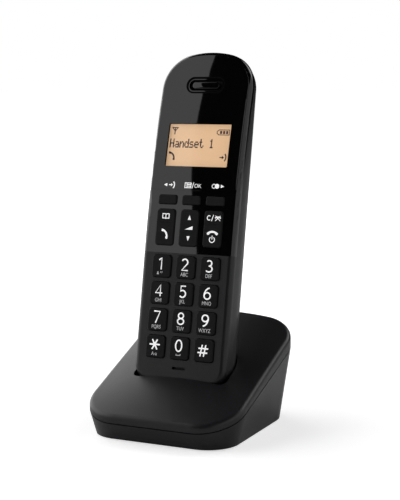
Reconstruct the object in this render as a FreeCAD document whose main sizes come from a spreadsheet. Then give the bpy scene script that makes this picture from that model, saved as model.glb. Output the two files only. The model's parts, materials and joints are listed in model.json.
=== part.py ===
"""Cordless telephone: a handset standing in its charging base.

Frame: millimetres, +Z up, X across the face, Y from front to back. The origin
is on the surface that the base stands on, under the middle of the base.
The handset is drawn upright in its own frame (X across, Y depth behind the
face, Z along its length from the lower end), and its Placement leans it back
into the base.
"""
import FreeCAD
import Part

import math
import os

import Sketcher
from FreeCAD import Placement, Rotation, Vector

X_AXIS = Vector(1, 0, 0)
Z_AXIS = Vector(0, 0, 1)
FAR = 60.0  # reaches past the handset from any side

SIZES = (
    # handset outline
    ("handset_length", 160.8, "lower end to crown, along the face"),
    ("handset_width", 48.0, "across the face"),
    ("foot_radius", 8.5, "corner at the lower end"),
    ("crown_radius", 47.0, "arc across the upper end"),
    ("shoulder_radius", 17.5, "corner between crown and side"),
    ("face_edge", 2.6, "rolled edge round the face"),
    ("bend_height", 66.0, "where the face starts to bend back"),
    ("bend_radius", 521.0, "radius of that bend"),
    ("seam_depth", 4.0, "front half, measured from the face"),
    ("seam_step", 0.25, "rear half is set in by this much"),
    ("straight_depth", 8.5, "side is straight as far back as this"),
    ("handset_depth", 26.6, "rear face at the lower end"),
    ("rear_taper", 0.004, "rear face comes forward per mm of height"),
    ("skin", 1.6, "wall of a moulding"),
    # standing in the base
    ("lean", 11.15, "handset leans back, degrees"),
    ("stand_back", -15.1, "Y of the face at the lower end"),
    ("stand_height", 22.55, "Z of the face at the lower end"),
    ("rest_gap", 0.3, "under the handset and behind moving pieces"),
    ("pocket_gap", 0.6, "round the handset in its pocket"),
    # keys
    ("dial_width", 10.0, "dial key cap"),
    ("dial_height", 10.8, "dial key cap"),
    ("dial_pitch_across", 12.8, "dial key columns"),
    ("dial_pitch_up", 12.82, "dial key rows"),
    ("dial_low", 17.15, "centre of the lowest row"),
    ("dial_corner", 1.5, "corner of a dial key"),
    ("upper_pitch", 12.6, "columns of the upper keys"),
    ("soft_width", 9.8, "soft key"),
    ("soft_height", 4.4, "soft key"),
    ("soft_level", 87.7, "centre of the soft keys"),
    ("soft_corner", 1.0, "corner of a soft key"),
    ("rocker_height", 17.4, "tall rocker key"),
    ("rocker_level", 74.4, "centre of the rockers"),
    ("rocker_corner", 1.5, "corner of a rocker"),
    ("key_proud", 0.9, "cap stands out of the face"),
    ("key_slack", 0.2, "gap round a cap"),
    ("key_flange", 0.6, "foot of a key, outside its cap"),
    ("flange_thick", 0.7, "foot of a key"),
    ("foot_slack", 0.3, "gap round the foot of a key"),
    ("rocker_drop", 0.6, "foot of a rocker behind the wall, so that it can tilt"),
    ("key_travel", 0.8, "stroke of a key"),
    ("cap_edge", 0.5, "rounding of a cap"),
    ("crease_level", 76.6, "crease across the outer rockers"),
    ("crease_width", 0.5, "crease across the outer rockers"),
    ("crease_depth", 0.22, "crease across the outer rockers"),
    # display and upper panel
    ("panel_low", 62.2, "lower edge of the upper panel"),
    ("lens_low", 92.6, "lower edge of the lens"),
    ("lens_inset", 1.4, "lens inside the handset's outline"),
    ("lens_thick", 1.2, "lens"),
    ("screen_width", 32.9, "window"),
    ("screen_low", 104.3, "window"),
    ("screen_high", 125.3, "window"),
    ("ear_width", 19.2, "earpiece slot"),
    ("ear_height", 7.0, "earpiece slot"),
    ("ear_level", 144.1, "centre of the earpiece slot"),
    ("mic_width", 7.0, "microphone slot"),
    ("mic_height", 1.3, "microphone slot"),
    ("mic_level", 7.6, "centre of the microphone slot"),
    # battery compartment
    ("cell_diameter", 10.5, "AAA cell"),
    ("cell_length", 44.5, "AAA cell"),
    ("cell_low", 40.0, "lower end of the cells"),
    ("cell_depth", 14.4, "axis of the cells"),
    ("cover_width", 31.0, "battery cover"),
    ("cover_low", 34.0, "lower edge of the battery cover"),
    ("cover_high", 92.0, "upper edge of the battery cover"),
    ("cover_corner", 4.0, "corner of the battery cover"),
    ("cover_gap", 0.2, "gap round the battery cover"),
    # circuit boards
    ("board_thick", 1.2, "circuit boards"),
    ("handset_board_depth", 5.4, "front face of the handset's board"),
    ("module_width", 38.0, "display module"),
    ("module_height", 27.0, "display module"),
    ("module_depth", 1.8, "glass behind the face"),
    ("ear_speaker", 15.0, "earpiece capsule"),
    ("ringer_speaker", 20.0, "ringer capsule"),
    ("ringer_level", 108.0, "centre of the ringer"),
    ("contact_offset", 7.0, "charge contacts either side of the middle"),
    ("contact_depth", 14.5, "charge contacts behind the face"),
    # base
    ("base_width", 79.2, "at the seam"),
    ("base_length", 86.0, "at the seam, seen from above"),
    ("base_front_corner", 19.5, "corner at the seam"),
    ("base_back_corner", 16.5, "corner at the seam"),
    ("base_slope", 19.5, "slope of the seam, degrees"),
    ("crown_slope", 2.1, "the top slopes this much more, degrees"),
    ("seam_low", 8.0, "height of the seam at the front"),
    ("skirt", 3.4, "top moulding above the seam, at its front edge"),
    ("crown_front", 0.3, "top rises from its sides to the middle, at the front"),
    ("crown_rise", 3.0, "the same, at the pocket"),
    ("crown_back", 3.4, "the same, at the back"),
    ("crown_ramp", 30.0, "length over which the top rises"),
    ("reveal_height", 0.45, "shadow gap along the seam"),
    ("reveal_depth", 0.8, "shadow gap along the seam"),
    ("top_edge", 2.3, "rounding round the top"),
    ("foot_width", 72.4, "base where it stands"),
    ("foot_length", 80.5, "base where it stands"),
    ("foot_front_corner", 15.0, "corner where it stands"),
    ("foot_back_corner", 20.0, "corner where it stands"),
    ("base_skin", 2.0, "wall of the base"),
    ("pocket_wall", 1.8, "wall of the pocket"),
    ("pocket_rounding", 18.0, "back of the pocket follows the handset"),
    ("pocket_corner", 3.5, "front corners of the pocket"),
    ("pad_diameter", 9.0, "rubber foot"),
    ("pad_proud", 0.3, "rubber foot below the underside"),
    ("pad_recess", 0.8, "seat of a rubber foot"),
    ("boss_across", 27.0, "screw bosses either side of the middle"),
    ("boss_front", -28.0, "Y of the front bosses"),
    ("boss_back", 30.0, "Y of the back bosses"),
    ("boss_diameter", 6.4, "screw boss"),
    ("base_board_level", 5.5, "underside of the base's board"),
    ("socket_face", 40.4, "Y of the sockets' openings"),
    ("jack_across", -12.5, "centre of the line jack"),
    ("jack_width", 13.2, "line jack"),
    ("jack_height", 11.5, "line jack"),
    ("inlet_across", 9.0, "centre of the power inlet"),
    ("inlet_width", 9.0, "power inlet"),
    ("inlet_height", 11.0, "power inlet"),
    ("button_width", 12.0, "page button"),
    ("button_height", 5.0, "page button"),
    ("button_level", 27.0, "centre of the page button"),
    ("button_travel", 1.0, "stroke of the page button"),
)


class Size:
    """A number, with the sheet formula that it comes from."""

    def __init__(self, text, value):
        self.text = text
        self.value = value

    def __add__(self, other):
        other = size_of(other)
        return Size(f"({self.text} + {other.text})", self.value + other.value)

    def __radd__(self, other):
        return size_of(other) + self

    def __sub__(self, other):
        other = size_of(other)
        return Size(f"({self.text} - {other.text})", self.value - other.value)

    def __rsub__(self, other):
        return size_of(other) - self

    def __mul__(self, other):
        other = size_of(other)
        return Size(f"({self.text} * {other.text})", self.value * other.value)

    def __rmul__(self, other):
        return size_of(other) * self

    def __truediv__(self, other):
        other = size_of(other)
        return Size(f"({self.text} / {other.text})", self.value / other.value)

    def __neg__(self):
        return 0.0 - self


def size_of(number):
    """Give a plain number the form of a Size."""
    if isinstance(number, Size):
        return number
    text = f"{number:.6f}" if number >= 0 else f"(0 - {-number:.6f})"
    return Size(text, float(number))


doc = FreeCAD.newDocument("CordlessPhone")
sheet = doc.addObject("Spreadsheet::Sheet", "Sizes")
for row, (alias, number, meaning) in enumerate(SIZES, start=1):
    sheet.set(f"A{row}", alias.replace("_", " "))
    sheet.set(f"B{row}", str(number))
    sheet.set(f"C{row}", meaning)
    sheet.setAlias(f"B{row}", alias)
doc.recompute()


class Sheet:
    """Reads the sheet's cells by their aliases."""

    def __getattr__(self, alias):
        return Size(f"Sizes.{alias}", float(sheet.get(alias)))


s = Sheet()
nodes = {}


# ---------------------------------------------------------------- helpers
def bind(item, prop, size):
    """Set a property and tie it to the sheet."""
    size = size_of(size)
    item.setExpression(prop, size.text)


def node(name, item, placement=None):
    """Record a finished sub-part under its own name."""
    item.Label = name
    if placement is not None:
        item.Placement = placement
    nodes[name] = item
    return item


def body(name):
    return doc.addObject("PartDesign::Body", name + "_body")


def plane_of(owner, role):
    for plane in owner.Origin.OriginFeatures:
        if plane.Role == role:
            return plane
    raise ValueError(role)


def new_sketch(owner, name, role, level=0.0, tilt=0.0):
    """Start a sketch on one of the body's planes, moved along its normal.

    On the XZ plane the normal points to the front, so depth is negative there.
    """
    sketch = owner.newObject("Sketcher::SketchObject", name)
    sketch.AttachmentSupport = [(plane_of(owner, role), "")]
    sketch.MapMode = "FlatFace"
    sketch.AttachmentOffset = Placement(Vector(0, 0, 0), Rotation(X_AXIS, tilt))
    bind(sketch, "AttachmentOffset.Base.z", level)
    return sketch


def dimension(sketch, constraint, label, size):
    """Add one named measure and tie it to the sheet."""
    index = sketch.addConstraint(constraint)
    sketch.renameConstraint(index, label)
    sketch.setExpression(f"Constraints.{label}", size.text)


def arc(cx, cy, radius, start, end):
    circle = Part.Circle(Vector(cx, cy, 0), Z_AXIS, radius)
    return Part.ArcOfCircle(circle, math.radians(start), math.radians(end))


def line(x0, y0, x1, y1):
    return Part.LineSegment(Vector(x0, y0, 0), Vector(x1, y1, 0))


def join_loop(sketch, first, count, smooth=True):
    """Join a ring of edges end to start."""
    for k in range(count):
        here, after = first + k, first + (k + 1) % count
        kind = "Tangent" if smooth else "Coincident"
        sketch.addConstraint(Sketcher.Constraint(kind, here, 2, after, 1))


def rounded_rectangle(sketch, x, y, width, height, lower, upper=None, tag="r"):
    """Draw a rectangle centred at x, y, with its lower and upper corner radii."""
    x, y, width, height = size_of(x), size_of(y), size_of(width), size_of(height)
    lower = size_of(lower)
    upper = lower if upper is None else size_of(upper)
    left, right = x.value - width.value / 2, x.value + width.value / 2
    low, high = y.value - height.value / 2, y.value + height.value / 2
    a, b = lower.value, upper.value
    first = sketch.GeometryCount
    sketch.addGeometry([
        line(left + a, low, right - a, low), arc(right - a, low + a, a, 270, 360),
        line(right, low + a, right, high - b), arc(right - b, high - b, b, 0, 90),
        line(right - b, high, left + b, high), arc(left + b, high - b, b, 90, 180),
        line(left, high - b, left, low + a), arc(left + a, low + a, a, 180, 270),
    ], False)
    join_loop(sketch, first, 8)
    for k, kind in ((0, "Horizontal"), (2, "Vertical"), (4, "Horizontal"), (6, "Vertical")):
        sketch.addConstraint(Sketcher.Constraint(kind, first + k))
    sketch.addConstraint(Sketcher.Constraint("Equal", first + 1, first + 7))
    sketch.addConstraint(Sketcher.Constraint("Equal", first + 3, first + 5))
    dimension(sketch, Sketcher.Constraint("Radius", first + 1, a), tag + "_lower", lower)
    dimension(sketch, Sketcher.Constraint("Radius", first + 3, b), tag + "_upper", upper)
    place(sketch, "DistanceX", first + 6, 1, left, tag + "_left", x - width / 2)
    place(sketch, "DistanceX", first + 2, 1, right, tag + "_right", x + width / 2)
    place(sketch, "DistanceY", first, 1, low, tag + "_low", y - height / 2)
    place(sketch, "DistanceY", first + 4, 1, high, tag + "_high", y + height / 2)


def place(sketch, kind, edge, end, value, label, size):
    """Fix one end of an edge at a distance from the sketch's origin."""
    dimension(sketch, Sketcher.Constraint(kind, -1, 1, edge, end, value), label, size)


def outline(sketch, inset_side, inset_end=None, crown=None, shoulder=None, foot=None):
    """Draw the handset's outline, set in by the given amounts."""
    side, end = size_of(inset_side), size_of(inset_side if inset_end is None else inset_end)
    crown = s.crown_radius - side if crown is None else size_of(crown)
    shoulder = s.shoulder_radius - side if shoulder is None else size_of(shoulder)
    foot = s.foot_radius - side if foot is None else size_of(foot)
    half = s.handset_width / 2 - side
    top, low = s.handset_length - end, end
    w, r, f, c = half.value, shoulder.value, foot.value, crown.value
    crown_z = top.value - c
    reach = math.sqrt((c - r) ** 2 - (w - r) ** 2)
    angle = math.degrees(math.atan2(reach, w - r))
    first = sketch.GeometryCount
    sketch.addGeometry([
        line(-w + f, low.value, w - f, low.value),
        arc(w - f, low.value + f, f, 270, 360),
        line(w, low.value + f, w, crown_z + reach),
        arc(w - r, crown_z + reach, r, 0, angle),
        arc(0, crown_z, c, angle, 180 - angle),
        arc(r - w, crown_z + reach, r, 180 - angle, 180),
        line(-w, crown_z + reach, -w, low.value + f),
        arc(f - w, low.value + f, f, 180, 270),
    ], False)
    join_loop(sketch, first, 8)
    for k, kind in ((0, "Horizontal"), (2, "Vertical"), (6, "Vertical")):
        sketch.addConstraint(Sketcher.Constraint(kind, first + k))
    sketch.addConstraint(Sketcher.Constraint("Equal", first + 1, first + 7))
    sketch.addConstraint(Sketcher.Constraint("Equal", first + 3, first + 5))
    dimension(sketch, Sketcher.Constraint("Radius", first + 1, f), "foot", foot)
    dimension(sketch, Sketcher.Constraint("Radius", first + 3, r), "shoulder", shoulder)
    dimension(sketch, Sketcher.Constraint("Radius", first + 4, c), "crown", crown)
    sketch.addConstraint(Sketcher.Constraint("PointOnObject", first + 4, 3, -2))
    place(sketch, "DistanceX", first + 6, 1, -w, "left", -half)
    place(sketch, "DistanceX", first + 2, 1, w, "right", half)
    place(sketch, "DistanceY", first, 1, low.value, "low", low)
    place(sketch, "DistanceY", first + 4, 3, crown_z, "middle", top - crown)


def pad(owner, sketch, length, backwards=False, name="Pad"):
    feature = owner.newObject("PartDesign::Pad", name)
    feature.Profile = sketch
    feature.Reversed = backwards
    bind(feature, "Length", length)
    return feature


def plate(name, x, z, width, height, radius, front, back, upper=None, edge=None):
    """A flat piece in the handset's frame, from one depth to another."""
    owner = body(name)
    sketch = new_sketch(owner, name + "_face", "XZ_Plane", -size_of(front))
    rounded_rectangle(sketch, x, z, width, height, radius, upper)
    pad(owner, sketch, size_of(back) - front, backwards=True, name=name + "_pad")
    if edge is not None:
        doc.recompute()
        round_edges(owner, edge, lambda e: on_level(e, "y", size_of(front).value))
    return owner


def on_level(edge, axis, value, slack=1e-4):
    """Tell whether the whole edge lies at one coordinate."""
    box = edge.BoundBox
    low, high = getattr(box, axis.upper() + "Min"), getattr(box, axis.upper() + "Max")
    return abs(low - value) < slack and abs(high - value) < slack


def round_edges(owner, radius, wanted, name="Rounding"):
    """Fillet the edges of the body's last feature that answer to a test."""
    base = owner.Tip
    names = [f"Edge{i}" for i, e in enumerate(base.Shape.Edges, start=1) if wanted(e)]
    fillet = owner.newObject("PartDesign::Fillet", owner.Name + "_" + name)
    fillet.Base = (base, names)
    bind(fillet, "Radius", radius)
    return fillet


def box(name, length, width, height, x, y, z):
    """A box with its lowest corner at x, y, z."""
    item = doc.addObject("Part::Box", name)
    for prop, size in (("Length", length), ("Width", width), ("Height", height)):
        bind(item, prop, size)
    for axis, size in (("x", x), ("y", y), ("z", z)):
        bind(item, f"Placement.Base.{axis}", size)
    return item


def cylinder(name, diameter, height, x, y, z, axis="z"):
    """A cylinder that starts at x, y, z and runs along an axis."""
    item = doc.addObject("Part::Cylinder", name)
    turn = {"z": Rotation(), "y": Rotation(X_AXIS, -90), "x": Rotation(Vector(0, 1, 0), 90)}[axis]
    item.Placement = Placement(Vector(), turn)
    bind(item, "Radius", size_of(diameter) / 2)
    bind(item, "Height", height)
    for along, size in (("x", x), ("y", y), ("z", z)):
        bind(item, f"Placement.Base.{along}", size)
    return item


def cut(name, base, *tools):
    for k, tool in enumerate(tools):
        item = doc.addObject("Part::Cut", f"{name}_cut{k}")
        item.Base = base
        item.Tool = tool
        base = item
    return base


def common(name, *items):
    item = doc.addObject("Part::MultiCommon", name + "_common")
    item.Shapes = list(items)
    return item


def fuse(name, *items):
    item = doc.addObject("Part::MultiFuse", name + "_fuse")
    item.Shapes = list(items)
    return item


def group(name, *items):
    """Several separate solids kept as one sub-part."""
    item = doc.addObject("Part::Compound", name + "_group")
    item.Links = list(items)
    return item


# ---------------------------------------------------------------- handset forms
def band_profile(sketch, front, back):
    """Side view of a layer of the bent face, between two depths."""
    front, back = size_of(front), size_of(back)
    low, high = -6.0, 172.0
    centre = s.bend_radius.value
    bend = s.bend_height.value
    near, far = centre - front.value, centre - back.value
    rise_near = math.degrees(math.asin((high - bend) / near))
    rise_far = math.degrees(math.asin((high - bend) / far))
    top_near = centre - near * math.cos(math.radians(rise_near))
    top_far = centre - far * math.cos(math.radians(rise_far))
    sketch.addGeometry([
        line(front.value, low, back.value, low),
        line(back.value, low, back.value, bend),
        arc(centre, bend, far, 180 - rise_far, 180),
        line(top_far, high, top_near, high),
        arc(centre, bend, near, 180 - rise_near, 180),
        line(front.value, bend, front.value, low),
    ], False)
    for a, a_end, b, b_end in ((0, 2, 1, 1), (2, 1, 3, 1), (3, 2, 4, 1), (5, 2, 0, 1)):
        sketch.addConstraint(Sketcher.Constraint("Coincident", a, a_end, b, b_end))
    for a, a_end, b, b_end in ((1, 2, 2, 2), (4, 2, 5, 1)):
        sketch.addConstraint(Sketcher.Constraint("Tangent", a, a_end, b, b_end))
    for edge, kind in ((0, "Horizontal"), (1, "Vertical"), (3, "Horizontal"), (5, "Vertical")):
        sketch.addConstraint(Sketcher.Constraint(kind, edge))
    sketch.addConstraint(Sketcher.Constraint("Coincident", 2, 3, 4, 3))
    dimension(sketch, Sketcher.Constraint("Radius", 4, near), "near", s.bend_radius - front)
    dimension(sketch, Sketcher.Constraint("Radius", 2, far), "far", s.bend_radius - back)
    place(sketch, "DistanceX", 4, 3, centre, "centre", s.bend_radius)
    place(sketch, "DistanceY", 4, 3, bend, "bend", s.bend_height)
    place(sketch, "DistanceY", 0, 1, low, "low", size_of(low))
    place(sketch, "DistanceY", 3, 1, high, "high", size_of(high))


def face_layer(name, front, back, inset, edge=None):
    """A layer of the handset's face: bent in side view, cut to the outline."""
    owner = body(name)
    profile = new_sketch(owner, name + "_side", "YZ_Plane")
    band_profile(profile, front, back)
    slab = pad(owner, profile, s.handset_width + 20, name=name + "_slab")
    slab.Midplane = True
    frame = new_sketch(owner, name + "_frame", "XZ_Plane", 10.0)
    outline(frame, inset)
    trim = owner.newObject("PartDesign::Pocket", name + "_trim")
    far_rectangle(frame)
    trim.Profile = frame
    trim.Reversed = False
    bind(trim, "Length", size_of(FAR))
    if edge is not None:
        doc.recompute()
        face = size_of(front).value
        round_edges(owner, edge, lambda e: edge_on_face(e, face))
    return owner


def far_rectangle(sketch):
    """Close the frame sketch with a rectangle well outside the handset."""
    left, right, low, high = -FAR, FAR, -30.0, 200.0
    first = sketch.GeometryCount
    sketch.addGeometry([
        line(left, low, right, low), line(right, low, right, high),
        line(right, high, left, high), line(left, high, left, low),
    ], False)
    join_loop(sketch, first, 4, smooth=False)
    for k, kind in ((0, "Horizontal"), (1, "Vertical"), (2, "Horizontal"), (3, "Vertical")):
        sketch.addConstraint(Sketcher.Constraint(kind, first + k))
    for label, kind, value in (("far_left", "DistanceX", left), ("far_low", "DistanceY", low)):
        place(sketch, kind, first, 1, value, label, size_of(value))
    for label, kind, value in (("far_right", "DistanceX", right), ("far_high", "DistanceY", high)):
        place(sketch, kind, first + 1, 2, value, label, size_of(value))


def face_depth(z, depth=0.0):
    """Depth of the bent face at a height, for a layer at the given depth."""
    rise = max(0.0, z - s.bend_height.value)
    radius = s.bend_radius.value
    return radius - math.sqrt((radius - depth) ** 2 - rise ** 2)


def edge_on_face(edge, depth):
    """Tell whether an edge is on the rim of the face, at its depth."""
    points = [edge.valueAt(edge.FirstParameter + t * (edge.LastParameter - edge.FirstParameter))
              for t in (0.1, 0.5, 0.9)]
    on_face = all(abs(p.y - face_depth(p.z, depth)) < 0.02 for p in points)
    across = abs(points[0].z - s.bend_height.value) < 0.01 and abs(points[2].z - points[0].z) < 0.01
    return on_face and not across


def rear_form(name, wall):
    """The handset's rounded back, drawn through outlines that shrink with depth."""
    wall = size_of(wall)
    owner = body(name)
    side_step = s.seam_step + wall
    full = s.handset_depth - s.straight_depth
    # fraction of the rounded depth, side inset, end inset, shoulder and foot radii
    steps = (
        (0.00, 0.0, 0.0, 17.0, 8.4), (0.25, 0.5, 0.4, 16.4, 8.4), (0.50, 2.1, 1.5, 15.0, 8.4),
        (0.70, 4.8, 3.2, 12.8, 8.0), (0.86, 8.9, 5.6, 10.2, 7.0), (0.955, 12.7, 8.2, 7.6, 5.4),
        (1.00, 16.4, 11.0, 5.4, 3.6),
    )
    front = new_sketch(owner, name + "_front", "XZ_Plane", size_of(-1.0))
    outline(front, side_step, crown=45, shoulder=17.0 - wall.value, foot=8.4 - wall.value)
    sketches = [front]
    for k, (fraction, side, end, shoulder, foot) in enumerate(steps):
        back = s.straight_depth + (full - wall) * fraction
        tilt = math.degrees(math.atan(s.rear_taper.value)) * fraction
        section = new_sketch(owner, f"{name}_{k}", "XZ_Plane", -back, tilt)
        outline(section, side_step + side, side_step + end, crown=45 - side,
                shoulder=shoulder - min(wall.value, 1.6), foot=foot - min(wall.value, 1.6))
        sketches.append(section)
    loft = owner.newObject("PartDesign::AdditiveLoft", name + "_loft")
    loft.Profile = sketches[0]
    loft.Sections = sketches[1:]
    loft.Ruled = False
    return owner


def behind_seam(name, depth):
    """Everything behind the seam between the handset's halves."""
    return face_slab(name, depth, FAR)


def face_slab(name, front, back, inset=-8.0):
    """A layer of the bent face that runs out past the outline."""
    owner = body(name)
    profile = new_sketch(owner, name + "_side", "YZ_Plane")
    band_profile(profile, front, back)
    slab = pad(owner, profile, s.handset_width - 2 * size_of(inset), name=name + "_slab")
    slab.Midplane = True
    return owner


handset_place = Placement(
    Vector(0, s.stand_back.value, s.stand_height.value), Rotation(X_AXIS, -s.lean.value))

DIAL = (("star", "0", "hash"), ("7", "8", "9"), ("4", "5", "6"), ("1", "2", "3"))
SIDES = (("left", -1), ("middle", 0), ("right", 1))


def dial_places():
    """Name and centre of each dial key."""
    for row, names in enumerate(DIAL):
        for column, name in zip((-1, 0, 1), names):
            yield name, s.dial_pitch_across * column, s.dial_low + s.dial_pitch_up * row


def dial_cuts(name, grow, front, back):
    """Cutters the size of the dial keys, grown all round."""
    for key, x, z in dial_places():
        yield plate(f"{name}_{key}", x, z, s.dial_width + 2 * grow, s.dial_height + 2 * grow,
                    s.dial_corner + grow, front, back)


def upper_cuts(name, grow, front, back):
    """Cutters the size of the soft keys and rockers, grown all round."""
    for side, column in SIDES:
        x = s.upper_pitch * column
        yield plate(f"{name}_soft_{side}", x, s.soft_level, s.soft_width + 2 * grow,
                    s.soft_height + 2 * grow, s.soft_corner + grow, front, back)
        yield plate(f"{name}_rocker_{side}", x, s.rocker_level, s.soft_width + 2 * grow,
                    s.rocker_height + 2 * grow, s.rocker_corner + grow, front, back)


def key(name, x, z, width, height, radius, drop, crease=None):
    """A cap with a foot that holds it in, a little behind the wall."""
    sunk = face_depth((z + height / 2 + s.key_flange).value)
    behind = s.skin + drop + sunk
    front = sunk - s.key_proud
    cap = plate(name, x, z, width, height, radius, front, behind, edge=s.cap_edge)
    if crease is not None:
        groove = box(name + "_groove", width + 2, s.crease_depth + 1, s.crease_width,
                     x - width / 2 - 1, front - 1, crease)
        cap = cut(name + "_creased", cap, groove)
    foot = plate(name + "_foot", x, z, width + 2 * s.key_flange, height + 2 * s.key_flange,
                 radius, behind, behind + s.flange_thick)
    return node(name, fuse(name, cap, foot), handset_place)


def build_keys():
    for name, x, z in dial_places():
        key(f"key_{name}", x, z, s.dial_width, s.dial_height, s.dial_corner, s.key_slack)
    for side, column in SIDES:
        key(f"soft_key_{side}", s.upper_pitch * column, s.soft_level, s.soft_width,
            s.soft_height, s.soft_corner, s.key_slack)
    for name, column, crease in (("talk_key", -1, s.crease_level), ("navigation_key", 0, None),
                                 ("off_key", 1, s.crease_level)):
        key(name, s.upper_pitch * column, s.rocker_level, s.soft_width, s.rocker_height,
            s.rocker_corner, s.rocker_drop, crease)


def build_front():
    """Front cabinet, upper panel and lens."""
    outer = face_layer("outer", 0.0, s.seam_depth, 0.0, edge=s.face_edge)
    under = face_layer("under", s.skin, s.seam_depth, s.skin, edge=1.0)
    hollow_low = face_layer("hollow_low", s.skin, s.seam_depth + 2, s.skin)
    hollow_high = face_layer("hollow_high", 2 * s.skin, s.seam_depth + 2, 2 * s.skin)
    lower = plate("lower_zone", 0, s.panel_low / 2 - 20, 80, s.panel_low + 40, 1, -5, 20)
    upper = plate("upper_zone", 0, s.panel_low + 60, 80, 120, 1, -5, 20)
    # the narrower hollow reaches below the step, so that the two levels stay joined
    low_room = plate("low_room", 0, s.panel_low / 2 - 21, 80, s.panel_low + 38, 1, -5, 20)
    high_room = plate("high_room", 0, s.panel_low + 58, 80, 120, 1, -5, 20)
    hollow = fuse("hollow", common("hollow_a", hollow_low, low_room),
                  common("hollow_b", hollow_high, high_room))
    low_skin = common("low_skin", outer, lower)
    high_core = common("high_core", under, upper)
    window = plate("window_hole", 0, (s.screen_low + s.screen_high) / 2, s.screen_width + 1,
                   s.screen_high - s.screen_low + 1, 0.5, -5, 20)
    ear = plate("ear_hole", 0, s.ear_level, s.ear_width, s.ear_height, 3.4, -5, 20)
    mic = plate("mic_hole", 0, s.mic_level, s.mic_width, s.mic_height, 0.6, -5, 20)
    dial_holes = list(dial_cuts("dial_hole", s.key_slack, -5, 20))
    upper_holes = list(upper_cuts("upper_hole", s.key_slack, -5, 20))
    foot_grow = s.key_flange + s.foot_slack
    foot_rooms = list(dial_cuts("dial_room", foot_grow, s.skin, 20))
    foot_rooms += list(upper_cuts("upper_room", foot_grow, s.skin - 1, 20))
    openings = fuse("openings", *dial_holes, *foot_rooms, mic)
    module_seat = plate("module_seat", 0, (s.screen_low + s.screen_high) / 2,
                        s.module_width + 0.6, s.module_height + 0.6, 1, -5, 20)
    cabinet = cut("front_cabinet", fuse("cabinet_solid", low_skin, high_core), hollow, openings,
                  module_seat, ear)
    node("front_cabinet", cabinet, handset_place)
    # the panel is a skin over the cabinet's upper part, with a seat for the lens
    seat = common("lens_seat", face_layer("seat", -3.0, s.lens_thick, s.lens_inset - 0.1),
                  plate("seat_zone", 0, s.lens_low + 60, 80, 120.2, 1, -8, 20))
    panel = cut("upper_panel", common("panel_skin", outer, upper), under, seat,
                fuse("panel_openings", *upper_holes, window, ear))
    node("upper_panel", panel, handset_place)
    lens_zone = plate("lens_zone", 0, s.lens_low + 60, 2 * 22.6, 120, 1.2, -8, 20)
    lens = cut("display_lens", common("lens", face_layer("lens_layer", 0.0, s.lens_thick,
                                                         s.lens_inset, edge=0.4), lens_zone), ear)
    node("display_lens", lens, handset_place)


def build_rear():
    """Rear shell and battery cover."""
    solid = common("rear_solid", rear_form("rear_outer", 0.0),
                   behind_seam("rear_zone", s.seam_depth))
    hollow = rear_form("rear_inner", s.skin)
    shell = cut("rear_wall", solid, hollow)
    middle = (s.cover_low + s.cover_high) / 2
    height = s.cover_high - s.cover_low
    opening = plate("cover_opening", 0, middle, s.cover_width, height, s.cover_corner, 12, 60)
    inside = plate("cover_patch", 0, middle, s.cover_width - 2 * s.cover_gap,
                   height - 2 * s.cover_gap, s.cover_corner - s.cover_gap, 12, 60)
    slots = [plate(f"ringer_slot_{k}", 4.0 * k, s.ringer_level, 1.4, 12.0, 0.6, 10, 60)
             for k in range(-2, 3)]
    holes = [box(f"contact_hole_{side}", 3.4, 5.4, 6.0, s.contact_offset * way - 1.7,
                 s.contact_depth - 2.7, -3.0) for side, way in (("left", -1), ("right", 1))]
    node("rear_shell", cut("rear_shell", shell, opening, fuse("rear_openings", *slots, *holes)),
         handset_place)
    node("battery_cover", common("battery_cover", shell, inside), handset_place)


def along_face(z, depth):
    """Place a piece behind the bent face at a height, square to the face."""
    rise = z.value - s.bend_height.value
    radius = s.bend_radius.value
    angle = math.asin(max(0.0, rise) / radius)
    y = radius - (radius - size_of(depth).value) * math.cos(angle)
    height = s.bend_height.value + (radius - size_of(depth).value) * math.sin(angle)
    return Placement(Vector(0, y, height), Rotation(X_AXIS, -math.degrees(angle)))


def square_to_face(name, item, z, depth):
    """Record a piece that lies square to the bent face."""
    return node(name, item, handset_place.multiply(along_face(z, depth)))


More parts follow.
